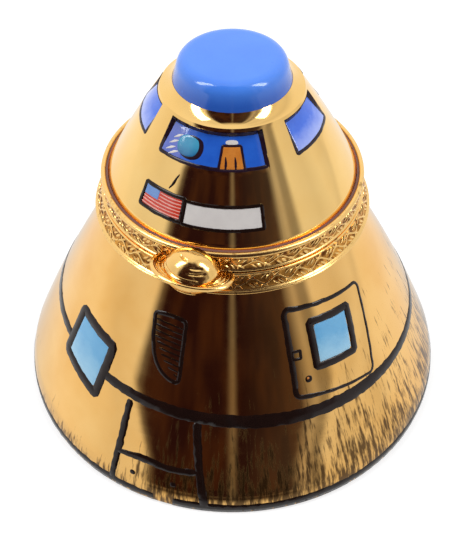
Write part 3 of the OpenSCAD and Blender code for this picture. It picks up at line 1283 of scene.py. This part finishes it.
@dataclass
class Band:
    """A stamped brass band: a profile round the box, with a ring of leaves.

    Attributes:
        body: Body that it moves with.
        node: CAD node that it replaces.
        profile: Closed profile, radius and height in mm.
        field_low: Radius and height of the lower edge of the field that holds the leaves, in mm.
        field_high: Radius and height of its upper edge, in mm.
        count: Number of motifs round the band.
        relief: Height of the leaves above the field, in mm.
        cement: Corner of the profile at which the cement in the joint to the porcelain starts.
    """

    body: Body
    node: str
    profile: list[Point]
    field_low: Point
    field_high: Point
    count: int
    relief: float = 0.085
    cement: Point | None = None

    def on_field(self, turn: float, rise: float, lift: float) -> Vector:
        """Point in metres on the field, at a share of its height, lifted off it by a height in mm."""
        (r0, z0), (r1, z1) = self.field_low, self.field_high
        size = math.dist(self.field_low, self.field_high)
        out = ((z1 - z0) / size, (r0 - r1) / size)
        return polar(turn, r0 + (r1 - r0) * rise + lift * out[0], z0 + (z1 - z0) * rise + lift * out[1])

    def leaf(self, cast: Cast, root: Point, tip: Point, width: float) -> None:
        """Adds one leaf with a sunk midrib.

        Args:
            cast: Mesh in the making.
            root: Turn in degrees and share of the field's height at its root.
            tip: The same at its tip.
            width: Its greatest width, as a share of the field's height.
        """
        height = math.dist(self.field_low, self.field_high)
        scale = math.radians(1) * self.field_low[0] / height
        du, dv = (tip[0] - root[0]) * scale, tip[1] - root[1]
        size = math.hypot(du, dv)
        rings = []
        for i in range(7):
            t = i / 6
            half = width / 2 * math.sin(math.pi * min(t * 0.92 + 0.04, 1.0)) ** 0.8
            ring = []
            for side, level in (
                (-1, -0.5), (-0.6, 0.9), (-0.12, 0.45), (0.12, 0.45), (0.6, 0.9), (1, -0.5)
            ):
                u = du * t - dv / size * side * half
                v = dv * t + du / size * side * half
                swell = 0.35 + 0.65 * math.sin(math.pi * t)
                level_mm = self.relief * (level * swell if level > 0 else level)
                ring.append(cast.add(self.on_field(root[0] + u / scale, root[1] + v, level_mm)))
            rings.append(ring)
        cast.loops(rings)
        cast.face(rings[0])
        cast.face(rings[-1])

    def motif(self) -> bpy.types.Mesh:
        """One repeat of the ornament: a wave of the stem with its leaves."""
        cast = Cast()
        step = 360 / self.count
        rings = []
        for i in range(13):
            t = i / 12
            rise = 0.5 + 0.24 * math.sin(math.tau * t)
            ring = []
            for k in range(5):
                c, s = unit(72 * k)
                ring.append(
                    cast.add(self.on_field(t * step, rise + 0.07 * s, self.relief * (0.35 + 0.6 * c)))
                )
            rings.append(ring)
        cast.loops(rings)
        cast.face(rings[0])
        cast.face(rings[-1])
        for flip in (1, -1):
            start = 0.0 if flip > 0 else 0.5
            for root, tip, width in (
                ((0.08, 0.62), (0.40, 0.98), 0.27),
                ((0.20, 0.70), (0.10, 1.0), 0.22),
                ((0.30, 0.42), (0.52, 0.06), 0.30),
                ((0.10, 0.36), (0.34, 0.04), 0.22),
            ):
                ends = [((t + start) * step, 0.5 + (v - 0.5) * flip) for t, v in (root, tip)]
                self.leaf(cast, ends[0], ends[1], width)
        return cast.mesh("motif", [BRASS_HIGH], 50)

    def build(self, ring: RingOfMotifs) -> None:
        """Builds the band and its ornament."""
        sides = zip(self.profile, self.profile[1:] + self.profile[:1])
        numbers = [2 if a == self.cement else int(self.in_field(a) and self.in_field(b)) for a, b in sides]
        mesh = revolve(self.profile, [BRASS_HIGH, BRASS_LOW, CEMENT], numbers, steps=224, sharp=50)
        piece(f"{self.node}_ring", mesh, self.body, (self.node,))
        leaves = ring.ring(self.motif(), self.count, 0.05, 11, BRASS_HIGH)
        piece(f"{self.node}_leaves", leaves, self.body)

    def in_field(self, point: Point) -> bool:
        """True if a point of the profile lies on the field."""
        return point in (self.field_low, self.field_high)


def bead_line(centre: Point, radius: float, start: float, end: float, steps: int = 8) -> list[Point]:
    """Points on a rolled lip round a centre, from one angle in degrees to another."""
    angles = [unit(start + (end - start) * i / steps) for i in range(steps + 1)]
    return [(centre[0] + radius * c, centre[1] + radius * s) for c, s in angles]


def build_bands() -> None:
    """Builds both bands."""
    ring = RingOfMotifs()
    lid_low, lid_high = (17.19, 33.78), (17.15, 35.48)
    lid = [(15.0, 34.05), (15.0, 33.35)] + bead_line((17.2, 33.53), 0.17, -90, 75)
    lid += [lid_low, lid_high] + bead_line((16.99, 35.9), 0.4, -62, 118)
    lid += [(16.72, 36.1), (16.4, 36.22), (16.35, 36.1), (16.35, 34.05)]
    Band(Body.LID, "lid_band", lid, lid_low, lid_high, 34, cement=(16.72, 36.1)).build(ring)
    low, high = (18.2, 31.26), (17.45, 32.8)
    base = [(16.45, 32.55), (16.45, 30.55), (18.3, 30.6)] + bead_line((18.42, 30.75), 0.16, -75, 55)
    base += bead_line((18.33, 31.05), 0.13, -45, 60)
    base += [low, high] + bead_line((17.37, 33.05), 0.17, -55, 88) + [(14.8, 33.23)]
    base += rounded((14.8, 33.65), (14.8, 33.8), (14.65, 33.8), 4)
    base += rounded((14.45, 33.8), (14.3, 33.8), (14.3, 33.65), 4)
    base += [(14.3, 32.55)]
    Band(Body.BASE, "base_band", base, low, high, 36).build(ring)


# Latitude of the middle, half width, and first and last turn of each groove of the globe, in degrees
GLOBE_GROOVES = (
    (16, 4.0, 60, 172), (34, 3.6, 40, 96), (47, 3.4, 46, 88), (62, 3.0, 100, 160), (-34, 3.4, 60, 125)
)


@dataclass
class Clasp:
    """The cast ringed planet that hangs from the lid band over the base band.

    Attributes:
        radius: Radius of the globe, in mm.
        half_length: Half its length along the ring, in mm.
        centre: Distance of its centre from the axis, and its height, in mm.
        ring: Half the ring's length and its reach, in mm.
        ring_t: Thickness of the ring, in mm.
        roll: Sideways tilt of the ring, in degrees.
        dip: Rise of the ring's front edge, in degrees.
        turn: Azimuth of the clasp, in degrees.
    """

    radius: float = 3.0
    half_length: float = 3.55
    centre: Point = (18.1, 33.8)
    ring: Point = (5.3, 3.3)
    ring_t: float = 0.6
    roll: float = 3.6
    dip: float = 3.4
    turn: float = -0.8
    # Radius that the clasp's back keeps to at rising heights
    seat: tuple[Point, ...] = (
        (31.05, 18.95),
        (33.15, 17.9),
        (33.7, 17.9),
        (33.71, 17.42),
        (36.15, 17.4),
        (36.4, 16.75),
    )

    def clear(self, point: Vector) -> Vector:
        """Moves a point out to the seat, if it lies behind it."""
        height = point.z / MM
        limit = self.seat[0][1] if height < self.seat[0][0] else self.seat[-1][1]
        for (z0, r0), (z1, r1) in zip(self.seat, self.seat[1:]):
            if z0 <= height < z1:
                limit = r0 + (r1 - r0) * (height - z0) / (z1 - z0)
        flat = math.hypot(point.x, point.y) / MM
        if flat >= limit:
            return point
        return Vector((point.x * limit / flat, point.y * limit / flat, point.z))

    def spot(self, along: float, reach: float, up: float) -> Vector:
        """Point in metres from the clasp's own axes: along the ring, out from the box, up from the ring."""
        c, s = unit(self.dip)
        reach, up = reach * c - up * s, reach * s + up * c
        c, s = unit(self.roll)
        x, y, z = along * c + up * s, -(self.centre[0] + reach), up * c - along * s
        c, s = unit(self.turn)
        return self.clear(Vector((x * c - y * s, x * s + y * c, self.centre[1] + z)) * MM)

    def globe(self) -> None:
        """Builds the globe, with engraved grooves that run beside the ring across its front."""
        cast = Cast()
        rings = []
        rows, steps = 88, 96
        for j in range(rows + 1):
            level = -90 + 180 * j / rows
            c, s = unit(level)
            ring = []
            for i in range(steps):
                turn = 360 * i / steps
                a, b = unit(turn)
                r = self.radius - self.groove(level, turn)
                ring.append(
                    cast.add(self.spot(r * c * a * self.half_length / self.radius, r * c * b, r * s))
                )
            rings.append([ring[0]] * steps if j in (0, rows) else ring)
        cast.loops(rings)
        piece("clasp_globe", cast.mesh("globe", [BRASS_CAST], 60), Body.LID, ("clasp_planet",))

    def groove(self, level: float, turn: float) -> float:
        """Depth of the globe's grooves in mm, at a latitude and a turn from its right end, in degrees."""
        depth = 0.0
        for middle, half, start, end in GLOBE_GROOVES:
            across = abs(level - middle - 0.04 * (turn - 90)) / half
            along = min(turn - start, end - turn) / 14
            if across < 1 and along > 0:
                depth = max(depth, 0.2 * math.cos(across * math.pi / 2) * min(along, 1.0))
        return depth

    def build(self) -> None:
        """Builds the globe, and the ring with its fine circles."""
        self.globe()
        cast = Cast()
        shares = [0.56 + 0.44 * i / 40 for i in range(41)]
        top = [(s, self.ring_t / 2 * self.relief(s)) for s in shares]
        line = top + [(1.0, 0.0)] + [(s, -h) for s, h in reversed(top)]
        rings = []
        for i in range(120):
            a, b = unit(360 * i / 120)
            rings.append(
                [cast.add(self.spot(self.ring[0] * s * a, self.ring[1] * s * b, h)) for s, h in line]
            )
        cast.loops(rings + [rings[0]])
        piece(
            "clasp_saturn_ring", cast.mesh("ring", [BRASS_CAST], 40), Body.LID, ("clasp_ring",)
        )

    def relief(self, share: float) -> float:
        """Height of the ring's face at a share of its reach: fine circles inside a raised rim."""
        if share > 0.92:
            return 1.0 - 0.45 * ((share - 0.92) / 0.08) ** 2
        return 0.62 - 0.34 * math.cos(math.tau * (share - 0.56) / 0.09)


@dataclass
class Hinge:
    """The knuckle hinge at the back and its pin.

    Attributes:
        axis: Distance of the pin from the box's axis, and its height, in mm.
        radius: Radius of the knuckles, in mm.
        pin_r: Radius of the pin, in mm.
        count: Number of knuckles.
        length: Length of one knuckle, in mm.
        gap: Gap between parts that pass each other, in mm.
    """

    axis: Point = (18.878, 33.3)
    radius: float = 1.1
    pin_r: float = 0.45
    count: int = 5
    length: float = 2.1
    gap: float = 0.2

    def lathe(self, cast: Cast, profile: list[Point], steps: int = 40) -> None:
        """Turns a closed profile of places along X and radii, in mm, round the pin's axis."""
        rings = []
        for x, r in profile:
            ring = []
            for i in range(steps):
                c, s = unit(360 * i / steps)
                ring.append(cast.add(Vector((x, self.axis[0] + r * c, self.axis[1] + r * s)) * MM))
            rings.append([ring[0]] * steps if r < 1e-6 else ring)
        if profile[0][1] > 1e-6:
            rings.append(rings[0])
        cast.loops(rings)

    def plate(self, cast: Cast, number: int, upper: bool) -> None:
        """Adds the leaf behind one knuckle, which runs from the band's face into the knuckle's back."""
        start = -self.count * self.length / 2 + number * self.length + self.gap / 2
        end = start + self.length - self.gap
        low, high = (33.4, 34.55) if upper else (32.05, 33.2)
        out = self.axis[0] - self.pin_r - 0.25
        rings = []
        for i in range(7):
            x = start + 0.02 + (end - start - 0.04) * i / 6
            ring = []
            for z, y in ((low, out), (low + 0.12, out + 0.1), (high - 0.12, out + 0.1), (high, out)):
                ring.append(cast.add(Vector((x, y, z)) * MM))
            for z in (high, low):
                face = 17.3 if upper else 17.45 + (33.05 - z) * 0.5
                ring.append(cast.add(Vector((x, math.sqrt(face**2 - x * x), z)) * MM))
            rings.append(ring)
        cast.loops(rings)
        cast.face(rings[0])
        cast.face(rings[-1])

    def knuckle(self, cast: Cast, number: int) -> None:
        """Adds one knuckle with turned ends and its bore."""
        start = -self.count * self.length / 2 + number * self.length + self.gap / 2
        end = start + self.length - self.gap
        bore, edge = self.pin_r + 0.03, 0.14
        profile = [(start, bore), (start, self.radius - edge), (start + edge, self.radius)]
        profile += [(start + edge * 2.5, self.radius), (start + edge * 3, self.radius - 0.05)]
        profile += [(end - edge * 3, self.radius - 0.05), (end - edge * 2.5, self.radius)]
        profile += [(end - edge, self.radius), (end, self.radius - edge), (end, bore)]
        self.lathe(cast, profile)

    def build(self) -> None:
        """Builds both leaves with their knuckles, and the pin."""
        for body, first, node in ((Body.BASE, 0, "base_hinge"), (Body.LID, 1, "lid_hinge")):
            cast = Cast()
            for number in range(first, self.count, 2):
                self.knuckle(cast, number)
                self.plate(cast, number, body is Body.LID)
            piece(f"{node}_knuckles", cast.mesh(node, [BRASS_HIGH], 35), body, (node,))
        cast = Cast()
        half = self.count * self.length / 2
        line = [(-half, 0.0)] + [
            (-half + 0.16 * (1 - c), self.pin_r * s)
            for c, s in (unit(a) for a in (25, 50, 75, 90))
        ]
        line += [(-x, r) for x, r in reversed(line)]
        self.lathe(cast, line, 28)
        piece("hinge_rod", cast.mesh("pin", [BRASS_LOW], 40), Body.BASE, ("hinge_pin",))


# ---------------------------------------------------------------- the painting


def frame_corners(centre: Point, half: Point, roll: float, skin: Skin) -> list[Point]:
    """Corners of a rolled rectangle on a skin.

    Args:
        centre: Azimuth and height of its middle.
        half: Half its width and height in mm.
        roll: Turn of the rectangle in degrees, anticlockwise.
        skin: Skin that it lies on.

    Returns:
        Azimuth and height of the lower left, lower right, upper right and upper left corner.
    """
    c, s = unit(roll)
    middle = skin.length_at(centre[1])
    found = []
    for sx, sy in ((-1, -1), (1, -1), (1, 1), (-1, 1)):
        u, v = sx * half[0], sy * half[1]
        along = middle + u * s + v * c
        found.append((centre[0] + skin.degrees(u * c - v * s, along), skin.spot(along)[1]))
    return found


@dataclass
class BasePainting:
    """What is painted on the base: lines, porthole, grille, hatch and panel.

    Attributes:
        brush: Brush on the base's skin.
    """

    brush: Brush

    def build(self) -> None:
        """Paints all of it."""
        self.rings()
        self.porthole()
        self.grille()
        self.hatch()
        self.panel()

    def rings(self) -> None:
        """Paints the line round the foot and the wandering line above it."""
        turns = [6.0 * i for i in range(60)]
        foot = [
            (t, 0.98 + 0.08 * math.sin(math.radians(t * 5)) + 0.06 * math.sin(math.radians(t * 13)))
            for t in turns
        ]
        self.brush.stroke("foot_line", foot, 1.7, DARK_PAINT, closed=True, ragged=0.25)
        ring = [(t, 13.6 + 1.3 * math.cos(math.radians(t + 60))) for t in range(-30, 315, 6)]
        widths = [1.25, 1.7, 1.95, 1.8, 1.35, 1.2, 1.1, 1.1, 1.1, 1.1, 1.2, 1.4, 1.3]
        self.brush.stroke("ring_line", ring, widths, DARK_PAINT, ragged=0.22, lift=0.005)

    def porthole(self) -> None:
        """Paints the square porthole at the left."""
        corners = [(-49.0, 12.4), (-27.9, 10.6), (-25.9, 19.4), (-48.6, 20.2)]
        centre = [sum(c[k] for c in corners) / 4 for k in (0, 1)]
        pane, middle = (
            [(centre[0] + (a - centre[0]) * k, centre[1] + (z - centre[1]) * k) for a, z in corners]
            for k in (0.76, 0.84)
        )
        self.brush.patch("porthole_pane", pane, PANE_BLUE, Slot.LIGHT)
        self.brush.stroke(
            "porthole_frame",
            self.brush.loop(middle, 0.9),
            1.4,
            DARK_PAINT,
            closed=True,
            ragged=0.2,
            lift=0.02,
        )

    def grille(self) -> None:
        """Paints the vent with its slats."""
        outline = [
            (-14.9, 25.5), (-9, 25.8), (-2.9, 25.5), (-2.4, 24.5), (-2.3, 21), (-2.35, 18.4), (-3.2, 18.0)
        ]
        outline += [(-7.4, 18.5), (-11.2, 20.0), (-13.4, 22.0), (-14.8, 24.6)]
        self.brush.stroke("grille_outline", outline, 0.58, DARK_PAINT, closed=True, ragged=0.3)
        cast = Cast()
        for i in range(10):
            z = 24.9 - 0.66 * i
            left = -14.3 + max(0.0, 23.4 - z) * 1.9 if z > 20 else -14.3 + 3.4 * 1.9 + (20 - z) * 3.4
            line = [(left, z + 0.02), ((left - 2.6) / 2, z - 0.12), (-2.8, z - 0.28)]
            self.brush.line(cast, line, [0.3, 0.26, 0.2], False, 0.4, 0.0, i * 3.1)
        piece("grille_slats", cast.mesh("slats", [DARK_PAINT], 60), Body.BASE)

    def hatch(self) -> None:
        """Paints the hatch at the right: its border, window, lock and knob."""
        border = [(35.0, 15.8), (63.4, 13.9), (71.0, 25.2), (34.9, 26.7)]
        self.brush.stroke(
            "hatch_border",
            self.brush.loop(border, 1.6),
            [0.85, 0.5, 0.42, 0.42, 0.4, 0.55, 0.75, 0.95, 0.85],
            DARK_PAINT,
            closed=True,
            ragged=0.3,
        )
        skin = self.brush.skin
        frame = frame_corners((52.1, 21.3), (3.55, 3.55), -6.0, skin)
        pane = frame_corners((52.1, 21.3), (2.75, 2.85), -6.0, skin)
        self.brush.patch("hatch_pane", pane, PANE_BLUE, Slot.LIGHT)
        middle = [((a + c) / 2, (b + d) / 2) for (a, b), (c, d) in zip(frame, pane)]
        self.brush.stroke(
            "hatch_frame", self.brush.loop(middle, 0.5), 1.05, DARK_PAINT, closed=True, lift=0.02
        )
        lock = frame_corners((37.1, 21.05), (0.55, 0.55), -4.0, skin)
        self.brush.stroke(
            "hatch_lock", self.brush.loop(lock, 0.12), 0.42, DARK_PAINT, closed=True, ragged=0.3
        )
        knob = frame_corners((39.8, 17.7), (0.55, 0.55), 0.0, skin)
        self.brush.patch("hatch_knob", knob, DARK_PAINT, Slot.DARK, bulge=0.01, cells=8)
        glint = frame_corners((39.6, 17.85), (0.2, 0.2), 0.0, skin)
        self.brush.patch(
            "hatch_knob_glint", glint, ORANGE_PAINT, Slot.LIGHT, lift=0.03, bulge=0.01, cells=6
        )

    def panel(self) -> None:
        """Paints the panel lines between the ring line and the foot, with two dots."""
        self.brush.stroke(
            "panel_line_left",
            [(-16.8, 13.7), (-17.1, 8.0), (-17.8, 1.3)],
            [1.0, 1.15, 0.95],
            DARK_PAINT,
            ragged=0.3,
        )
        self.brush.stroke(
            "panel_line_right",
            [(4.7, 13.4), (5.9, 8.0), (8.0, 1.0)],
            [1.25, 1.1, 1.3],
            DARK_PAINT,
            ragged=0.3,
        )
        cross = [(-17.8, 6.1), (-9.1, 6.6), (-2.0, 6.3), (5.6, 6.5)]
        self.brush.stroke(
            "panel_line_cross", cross, [0.7, 1.15, 1.05, 1.0], DARK_PAINT, ragged=0.3, lift=0.01
        )
        for name, spot in (("panel_dot_left", (-11.9, 4.0)), ("panel_dot_right", (-0.5, 4.15))):
            corners = frame_corners(spot, (0.48, 0.42), 0.0, self.brush.skin)
            self.brush.patch(name, corners, DARK_PAINT, Slot.DARK, bulge=0.01, cells=6)


@dataclass
class LidPainting:
    """What is painted on the lid: windows, flag and blank nameplate.

    Attributes:
        brush: Brush on the lid's skin.
        shell: The lid's shell, for the windows' place.
    """

    brush: Brush
    shell: LidShell

    def build(self) -> None:
        """Paints all of it."""
        for window in WINDOWS:
            self.window(window)
        self.front_view()
        self.flag()
        self.plate()

    def window(self, window: Window) -> None:
        """Paints one window: its pane and the dark line round it."""
        left, right = window.centre - window.width / 2 + 0.8, window.centre + window.width / 2 - 0.8
        low, high = self.shell.sill + 0.08, self.shell.head - 0.05
        corners = [(left, low), (right, low), (right, high), (left, high)]
        finish = ROYAL_BLUE if window.name == "front" else SIDE_BLUE
        self.brush.patch(f"window_pane_{window.name}", corners, finish, Slot.BLUE, cells=26)
        inset = self.brush.skin.degrees(0.14, self.brush.skin.length_at(low))
        edge = [
            (left + inset, low + 0.12),
            (right - inset, low + 0.12),
            (right - inset, high - 0.1),
            (left + inset, high - 0.1),
        ]
        self.brush.stroke(
            f"window_line_{window.name}",
            self.brush.loop(edge, 0.2),
            0.46,
            PURPLE_PAINT,
            closed=True,
            ragged=0.3,
            lift=0.02,
        )

    def front_view(self) -> None:
        """Paints what the front window shows: a globe, a seat with a painted highlight on its top, white
        streaks of painted reflection and a pale left part.
        """
        pale = [(-34.5, 44.7), (-17.0, 44.7), (-21.0, 48.1), (-34.5, 48.1)]
        self.brush.patch("front_pale_part", pale, LAVENDER, Slot.BLUE, lift=0.015)
        skin = self.brush.skin
        globe = frame_corners((-15.6, 46.35), (1.6, 1.35), 0.0, skin)
        shade = frame_corners((-13.2, 46.3), (1.75, 1.55), 0.0, skin)
        self.brush.patch("front_globe_shade", shade, PURPLE_PAINT, Slot.DARK, lift=0.03, bulge=0.01)
        self.brush.patch("front_globe", globe, TURQUOISE, Slot.LIGHT, lift=0.05, bulge=0.01)
        # Painted reflection: white streaks of glare across the window's pale part
        for i, (turn, height) in enumerate(((-25.0, 46.9), (-26.5, 46.2), (-27.0, 45.5), (-24.0, 45.2))):
            line = [(turn - 3.2, height - 0.35), (turn, height + 0.05), (turn + 3.0, height + 0.3)]
            self.brush.stroke(
                f"front_pale_streak_{i + 1}",
                line,
                [0.1, 0.34, 0.1],
                WHITE_PAINT,
                lift=0.03,
                slot=Slot.LIGHT,
            )
        seat = [(6.6, 44.62), (22.6, 44.62), (21.0, 47.1), (8.2, 47.1)]
        self.brush.patch("front_seat", seat, ORANGE_PAINT, Slot.LIGHT, lift=0.03)
        self.brush.stroke(
            "front_seat_line", self.brush.loop(seat, 0.3), 0.3, PURPLE_PAINT, closed=True, lift=0.05
        )
        # Painted highlight: a white patch on the seat's top, where light catches it
        top = [(9.2, 47.15), (20.2, 47.15), (19.2, 47.7), (10.0, 47.7)]
        self.brush.patch("front_seat_highlight", top, WHITE_PAINT, Slot.LIGHT, lift=0.04, bulge=0.01, cells=8)
        for name, turn in (("left", 10.9), ("right", 16.9)):
            line = [(turn, 44.75), (turn + 0.1, 45.4), (turn - 0.3, 46.0)]
            self.brush.stroke(f"front_seat_slit_{name}", line, [0.34, 0.3, 0.16], PURPLE_PAINT, lift=0.05)

    def flag(self) -> None:
        """Paints a plain striped flag with an empty canton, and a broken stroke above it."""
        left, right, low, high = -33.6, -9.6, 38.4, 41.0
        self.brush.patch(
            "flag_field", [(left, low), (right, low), (right, high), (left, high)], RED_PAINT, Slot.RED
        )
        split, half = left + (right - left) * 0.42, low + (high - low) * 0.5
        canton = [(left, half), (split, half), (split, high), (left, high)]
        self.brush.patch("flag_canton", canton, CANTON_BLUE, Slot.LIGHT, lift=0.03)
        cast = Cast()
        for i, share in enumerate((0.14, 0.28, 0.42, 0.56, 0.7, 0.84)):
            start = left if share < 0.5 else split
            z = low + (high - low) * share
            line = [(start, z + 0.03), ((start + right) / 2, z - 0.03), (right, z + 0.02)]
            self.brush.line(cast, line, [0.13, 0.17, 0.12], False, 0.5, 0.02, i * 2.7)
        piece("flag_pale_lines", cast.mesh("pale_lines", [PINK_PAINT], 60), Body.LID)
        self.outline("flag_outline", left, right, low, high, 0.5)
        self.brush.stroke(
            "flag_broken_stroke",
            [(-15.6, 43.3), (-17.2, 42.5), (-19.6, 41.5)],
            [0.16, 0.34, 0.2],
            DARK_PAINT,
            ragged=0.9,
        )

    def plate(self) -> None:
        """Paints the blank nameplate beside the flag."""
        left, right, low, high = -9.0, 29.6, 38.3, 40.85
        corners = [(left, low), (right, low), (right, high), (left, high)]
        self.brush.patch("nameplate", corners, WHITE_PAINT, Slot.LIGHT, cells=20)
        self.outline("nameplate_outline", left, right, low, high, 0.42)

    def outline(self, name: str, left: float, right: float, low: float, high: float, width: float) -> None:
        """Paints the dark line round a patch, given by its sides in degrees and mm."""
        corners = [(left, low), (right, low), (right, high), (left, high)]
        self.brush.stroke(
            name, self.brush.loop(corners, 0.2), width, DARK_PAINT, closed=True, ragged=0.25, lift=0.05
        )


# ---------------------------------------------------------------- studio


@dataclass
class Studio:
    """White table, soft light with a dark opening where the camera stands, and the camera.

    Attributes:
        target: Point that the camera looks at, height on the axis in mm.
        distance: Distance of the camera from it, in mm.
        azimuth: Azimuth of the camera, in degrees.
        elevation: Its elevation, in degrees.
        lens: Focal length in mm, for a sensor 36 mm on its long side.
        shift: Sideways shift of the lens.
    """

    target: float = 15.75
    distance: float = 144.73
    azimuth: float = 15.0
    elevation: float = 45.973
    lens: float = 65.44
    shift: float = -0.0036

    def camera(self) -> None:
        """Makes the camera."""
        data = bpy.data.cameras.new("camera")
        data.lens, data.sensor_width, data.sensor_fit = self.lens, 36.0, "AUTO"
        data.shift_x = self.shift
        data.clip_start, data.clip_end = 0.01, 10.0
        made = bpy.data.objects.new("camera", data)
        bpy.context.scene.collection.objects.link(made)
        c, s = unit(self.elevation)
        made.location = polar(self.azimuth, self.distance * c, self.target + self.distance * s)
        aim = Vector((0, 0, self.target * MM)) - made.location
        made.rotation_euler = aim.to_track_quat("-Z", "Y").to_euler()
        bpy.context.scene.camera = made

    def floor(self) -> None:
        """Makes the white table, which shows white to the camera and keeps a soft shadow."""
        shape = bmesh.new()
        bmesh.ops.create_circle(shape, cap_ends=True, segments=64, radius=1.5)
        mesh = bpy.data.meshes.new("table")
        shape.to_mesh(mesh)
        shape.free()
        made = bpy.data.objects.new("table", mesh)
        bpy.context.scene.collection.objects.link(made)
        paint = bpy.data.materials.new("white_table")
        paint.use_nodes = True
        tree = paint.node_tree
        tree.nodes.clear()
        path = add(tree, "ShaderNodeLightPath")
        seen = math_of(tree, "MAXIMUM", path.outputs["Is Camera Ray"], path.outputs["Is Glossy Ray"])
        seen = math_of(tree, "MAXIMUM", seen, path.outputs["Is Transmission Ray"])
        matt = add(tree, "ShaderNodeBsdfDiffuse", links={"Color": grey(0.5)})
        glow = add(
            tree, "ShaderNodeEmission", links={
                "Color": grey(1.0), "Strength": math_of(tree, "MULTIPLY", seen, 0.62)
            }
        )
        both = add(tree, "ShaderNodeAddShader", links={0: matt.outputs[0], 1: glow.outputs[0]})
        add(tree, "ShaderNodeOutputMaterial", links={"Surface": both.outputs[0]})
        mesh.materials.append(paint)
        made.visible_glossy = False

    def world(self) -> None:
        """Makes the light round the box: bright on all sides, dark where the camera stands."""
        world = bpy.data.worlds.new("studio")
        bpy.context.scene.world = world
        world.use_nodes = True
        tree = world.node_tree
        tree.nodes.clear()
        place = add(tree, "ShaderNodeTexCoord")
        part = add(tree, "ShaderNodeSeparateXYZ", links={"Vector": place.outputs["Generated"]})
        x, y, z = part.outputs
        turn = math_of(tree, "ARCTAN2", x, math_of(tree, "MULTIPLY", y, -1.0))
        # Towards the floor the dark opening gets narrower
        spread = add(
            tree,
            "ShaderNodeMapRange",
            links={"Value": z, "From Min": -0.09, "From Max": -0.207, "To Min": 1.0, "To Max": 1.35},
        ).outputs[0]
        camera = math.radians(self.azimuth)
        off = math_of(tree, "MULTIPLY", math_of(tree, "SUBTRACT", turn, camera), spread)
        share = math_of(
            tree, "ADD", math_of(tree, "DIVIDE", math_of(tree, "ADD", off, camera), math.tau), 0.5
        )
        room = add(
            tree,
            "ShaderNodeTexNoise",
            links={"Vector": place.outputs["Generated"], "Scale": 5.0, "Detail": 4.0},
        )
        dark = ramp(tree, room.outputs["Fac"], [(0.42, colour("28151D")), (0.6, colour("402822"))])
        levels = (
            (-180, 1.08),
            (-110, 1.05),
            (-80, 0.95),
            (-64, 0.85),
            (-43, 0.9),
            (-38, 0.12),
            (-34, 0.0),
            (12, 0.0),
            (15, 0.2),
            (18, 0.0),
            (52, 0.03),
            (57, 0.3),
            (61, 0.5),
            (65, 0.3),
            (70, 0.3),
            (75, 0.87),
            (95, 0.78),
            (110, 0.9),
            (125, 0.8),
            (140, 1.0),
            (180, 1.05),
        )
        round_about = ramp(tree, share, [(turned / 360 + 0.5, grey(level)) for turned, level in levels])
        opening = ramp(
            tree,
            share,
            [(degrees / 360 + 0.5, grey(on)) for degrees, on in ((-41, 0), (-36, 1), (60, 1), (74, 0))],
        )
        round_about = mix_of(tree, 1.0, round_about, mix_of(tree, opening, grey(0.0), dark))
        round_about.node.blend_type = "ADD"
        # Only right above the box is the light even
        high = ramp(tree, z, [(0.975, grey(0.0)), (0.998, grey(1.0))])
        mirror = mix_of(tree, high, round_about, grey(1.0))
        # The white table below the box
        low = ramp(tree, math_of(tree, "MULTIPLY", z, -1.0), [(0.42, grey(0.0)), (0.6, grey(1.0))])
        mirror = mix_of(tree, low, mirror, grey(0.85))
        path = add(tree, "ShaderNodeLightPath")
        soft = mix_of(tree, 0.12, mirror, grey(1.15))
        light = mix_of(tree, path.outputs["Is Glossy Ray"], soft, mirror)
        seen = math_of(tree, "MAXIMUM", path.outputs["Is Camera Ray"], path.outputs["Is Transmission Ray"])
        shown = mix_of(tree, seen, light, grey(1.0))
        back = add(tree, "ShaderNodeBackground", links={"Color": shown, "Strength": 1.0})
        add(tree, "ShaderNodeOutputWorld", links={"Surface": back.outputs[0]})

    def lamps(self) -> None:
        """Hangs two narrow soft lamps, which give the cap and the rims their highlights."""
        for name, turn, rise, power in (("lamp_left", -60.0, 52.0, 0.5), ("lamp_right", 85.0, 48.0, 0.5)):
            data = bpy.data.lights.new(name, "AREA")
            data.shape, data.size, data.size_y, data.energy = "RECTANGLE", 0.08, 0.25, power
            made = bpy.data.objects.new(name, data)
            bpy.context.scene.collection.objects.link(made)
            c, s = unit(rise)
            made.location = polar(turn, 400 * c, 400 * s)
            made.rotation_euler = (-made.location).to_track_quat("-Z", "Y").to_euler()

    def build(self) -> None:
        """Makes the camera, the floor, the room and the lamps."""
        scene = bpy.context.scene
        scene.view_settings.view_transform = "Standard"
        self.camera()
        self.floor()
        self.world()
        self.lamps()


def main() -> None:
    """Builds the box round its frame, part by part."""
    logging.basicConfig(level=logging.INFO, format="%(message)s")
    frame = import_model()
    bead = frame["nodes"]["catch_bead"].data.materials
    bead.clear()
    bead.append(BRASS_HIGH.material())
    base_skin = BaseShell().build()
    lid_shell = LidShell()
    lid_skin = lid_shell.build()
    build_bands()
    Clasp().build()
    Hinge().build()
    BasePainting(Brush(base_skin, Body.BASE)).build()
    LidPainting(Brush(lid_skin, Body.LID), lid_shell).build()
    Studio().build()


if __name__ == "__main__":
    main()
